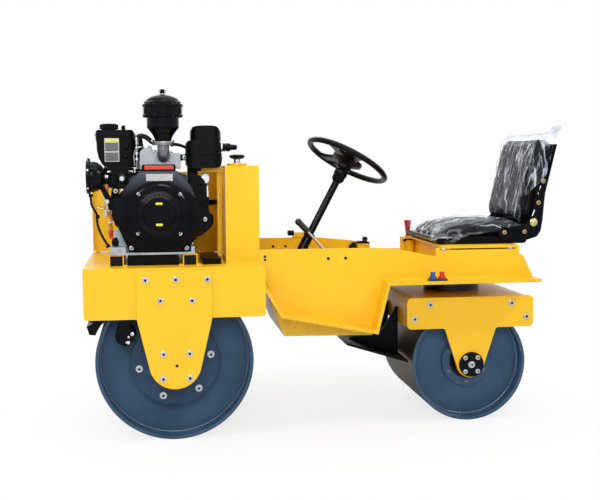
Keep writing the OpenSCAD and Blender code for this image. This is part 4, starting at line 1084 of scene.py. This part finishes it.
def seat_soft():
    # seat cushion, thicker at the rear
    a, b = 0.174, 0.218
    mid = P(SEAT_X, 0, 0).x

    def rise(x):
        k = 0.5 - x / (2 * a)
        return 0.0105 + 0.0095 * min(1, k * 1.9) ** 0.8

    sc = box_form("seat_cushion_soft", (a - 0.004, b - 0.004, SEAT_HALF_T), 0.05, 0.0135, 0.004)
    stuff(sc, 0.008)
    for v in sc.data.vertices:
        x, y, z = v.co
        k = rise(x) / SEAT_HALF_T
        pull = 1 - 0.012 * (1 - min(1, abs(abs(x) / a - abs(y) / b) * 1.6))
        up = clamp(0.5 + z / (2 * SEAT_HALF_T), 0.0, 1.0)
        slope = 0.03 * up * max(0.0, x / a) ** 4
        v.co = Vector((mid + x - slope, y * pull, max(SEAT_LOW, SEAT_LOW + 0.016 * k + z * k)))
    finish_soft(sc, VINYL)
    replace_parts(sc, "seat_cushion")

    tree = BVHTree.FromObject(sc, bpy.context.evaluated_depsgraph_get())

    def top(x, y):
        x, y = clamp(x, -a + 0.02, a - 0.02), clamp(y, -b + 0.02, b - 0.02)
        hit = tree.ray_cast(Vector((mid + x, y, 1.0)), -Z)
        return (hit[0].z if hit[0] else 0.735) + 0.003

    edge = [(-1340, 0.002), (-1262, 0.004), (-1235, 0.014), (-1129, 0.026), (-1085, 0.04), (-1053, 0.062),
            (-1013, 0.04), (-985, 0.032)]

    def near_edge(x):
        mm = (x - X0) * 1000
        for (p, q), (s, t) in zip(edge, edge[1:]):
            if mm <= s:
                return q + (t - q) * max(0, (mm - p) / (s - p))
        return edge[-1][1]

    def reach(side, t):
        if side == "x+":
            return 0.018 + 0.004 * sin(5 * t + 1) + 0.006 * t
        if side == "x-":
            return 0.004
        if side == "y+":
            return near_edge(mid + t * a)
        return 0.026 + 0.008 * sin(4 * t)

    def creases(p):
        q = Vector((p.x * 11 + p.y * 4, p.y * 6, p.z * 8))
        return 0.0012 + 0.0042 * ridge(q, 3.1) + 0.0016 * ridge(q * 2.1, 9.4)

    def fold(x, y, d):
        k = 0.9 if (x > 0 and y > 0) else 0.1
        return Vector((copysign(d * k, x), copysign(d * k * 0.4, y), 0))

    m = Matrix.Translation((mid, 0, 0))
    film, flat, area = drape("seat_film", sc, m, (a, b), 0.016, reach, top, creases, fold)
    finish_soft(film, FILM_SEAT, 0)

    # back cushion, drawn flat and then stood on its foot
    lean = radians(13.5)
    h, w, t = 0.172, 0.22, 0.03
    foot = P(-1325, 0, 758)
    up = Vector((-sin(lean), 0, cos(lean)))
    face = Vector((cos(lean), 0, sin(lean)))
    stand = Matrix((up, Y, face)).transposed().to_4x4()
    stand.translation = foot + up * (h - 0.012) - face * 0.026
    bc = box_form("back_cushion_soft", (h - 0.003, w - 0.003, t - 0.003), 0.045, 0.018, 0.008, (26, 30, 6))
    stuff(bc, 0.01)
    for v in bc.data.vertices:
        x, y, z = v.co
        pull = 1 - 0.02 * (1 - (x / h) ** 2)
        slim = 1 - 0.02 * max(0, x / h)
        x *= 1 - 0.012 * (1 - (y / w) ** 2)
        v.co = stand @ Vector((x, y * pull * slim, clamp(z, -0.0298, t + 0.008)))
    bc.data.flip_normals()
    finish_soft(bc, VINYL)
    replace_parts(bc, "back_cushion")

    def reach_back(side, s):
        if side == "x+":
            return 0.03 + 0.006 * (s + 1)
        if side == "x-":
            return -0.046 + 0.034 * s + 0.006 * sin(9 * s)
        return -0.02 + 0.058 * clamp((s + 0.42) / 0.55, 0.0, 1.0)

    def creases_back(p):
        q = Vector((p.x * 2.6, p.y * 11 + p.x * 4 * p.y, p.z * 6))
        fade = 0.75 + 0.25 * noise.noise(Vector((p.x * 9, p.y * 9, 4)))
        return 0.0014 + (0.01 * ridge(q, 5.7) + 0.004 * ridge(q * 2.3, 1.2)) * fade

    def fold_back(x, y, d):
        k = 1.15 if x > 0 and y > 0 else 0.1
        return Vector((d * k, copysign(d * k * 0.12, y), 0))

    film, flat, area = drape("back_film", bc, stand, (h + 0.004, 0.2325), 0.034, reach_back,
                             lambda x, y: t + 0.004, creases_back, fold_back)
    finish_soft(film, FILM_BACK, 0)


frame_bolts()
welds()
engine_details()
body_details()
helm_details()
seat_details()
seat_soft()


# ---------- floor, light and camera ----------
def world_and_floor():
    """White to the camera, through the film and in reflections; a dimmer light for the rest."""
    w = bpy.data.worlds.new("studio")
    bpy.context.scene.world = w
    w.use_nodes = True
    nt = w.node_tree
    dim = nt.nodes["Background"]
    fill(nt, dim, {"Color": (0.92, 0.95, 1.0, 1), "Strength": 0.36})
    white = node(nt, "Background", {"Color": (1, 1, 1, 1), "Strength": 1.0})
    ray = node(nt, "LightPath", {}).outputs
    seen = node(nt, "Math", {0: ray["Is Camera Ray"], 1: ray["Is Transmission Ray"]}, operation="MAXIMUM")
    seen = node(nt, "Math", {0: seen.outputs[0], 1: ray["Is Glossy Ray"]}, operation="MAXIMUM")
    both = node(nt, "MixShader", {0: seen.outputs[0], 1: dim.outputs[0], 2: white.outputs[0]})
    fill(nt, nt.nodes["World Output"], {"Surface": both.outputs[0]})
    bpy.ops.mesh.primitive_grid_add(x_subdivisions=24, y_subdivisions=24, size=24, location=(0, 0, 0))
    floor = bpy.context.object
    floor.name = "floor"
    m = bpy.data.materials.new("floor_white")
    m.use_nodes = True
    nt = m.node_tree
    matt = nt.nodes["Principled BSDF"]
    fill(nt, matt, {"Base Color": (0.86, 0.86, 0.87, 1), "Roughness": 0.7})
    glow = node(nt, "Emission", {"Strength": 1.0})
    place = node(nt, "TexCoord", {}).outputs["Object"]
    away = node(nt, "VectorMath", {0: place}, operation="LENGTH").outputs["Value"]
    fade = {"Value": away, "From Min": 0.55, "From Max": 1.25, "To Min": 0.8, "To Max": 1.0}
    fade = node(nt, "MapRange", fade, interpolation_type="SMOOTHSTEP").outputs[0]
    camera_ray = node(nt, "LightPath", {}).outputs["Is Camera Ray"]
    k = node(nt, "Math", {0: fade, 1: camera_ray}, operation="MULTIPLY").outputs[0]
    both = node(nt, "MixShader", {0: k, 1: matt.outputs[0], 2: glow.outputs[0]})
    fill(nt, nt.nodes["Material Output"], {"Surface": both.outputs[0]})
    floor.data.materials.append(m)


def area(name, loc, target, size, power):
    light = bpy.data.lights.new(name, "AREA")
    light.shape = "RECTANGLE"
    light.size, light.size_y = size
    light.energy = power
    o = to_scene(name, light)
    o.location = loc
    o.rotation_euler = (Vector(target) - Vector(loc)).to_track_quat("-Z", "Y").to_euler()


def camera():
    cam = bpy.data.cameras.new("camera")
    o = to_scene("camera", cam)
    cam.lens = 62.78
    cam.sensor_width = 36
    yaw, pitch, roll = radians(7.99), radians(5.04), radians(-0.36)
    d = Vector((-sin(yaw) * cos(pitch), -cos(yaw) * cos(pitch), -sin(pitch)))
    r = d.cross(Z).normalized()
    u = r.cross(d)
    right, up = r * cos(roll) + u * sin(roll), u * cos(roll) - r * sin(roll)
    m = Matrix((right, up, -d)).transposed().to_4x4()
    m.translation = P(68.7, 4048.8, 1000.5)
    o.matrix_world = m
    bpy.context.scene.camera = o


world_and_floor()
camera()
area("key", (0.8, 5.0, 2.8), (-0.1, 0, 0.5), (3.0, 2.2), 126)
area("fill", (-2.38, 1.52, 3.01), (-0.03, 0.3, 0.87), (0.6, 0.5), 34)
area("side", (2.41, 1.59, 3.01), (0.1, 0.3, 0.87), (0.55, 0.5), 30)
area("strip", (0.0, 1.35, 3.95), (0.05, 0.3, 0.9), (1.2, 0.3), 20)
area("top", (0, -0.6, 4.0), (0, 0, 0.4), (3.5, 2.6), 34)
area("back", (0.5, -3.6, 3.0), (0, 0, 0.6), (3.0, 2.0), 36)
bpy.context.scene.view_settings.view_transform = "Standard"
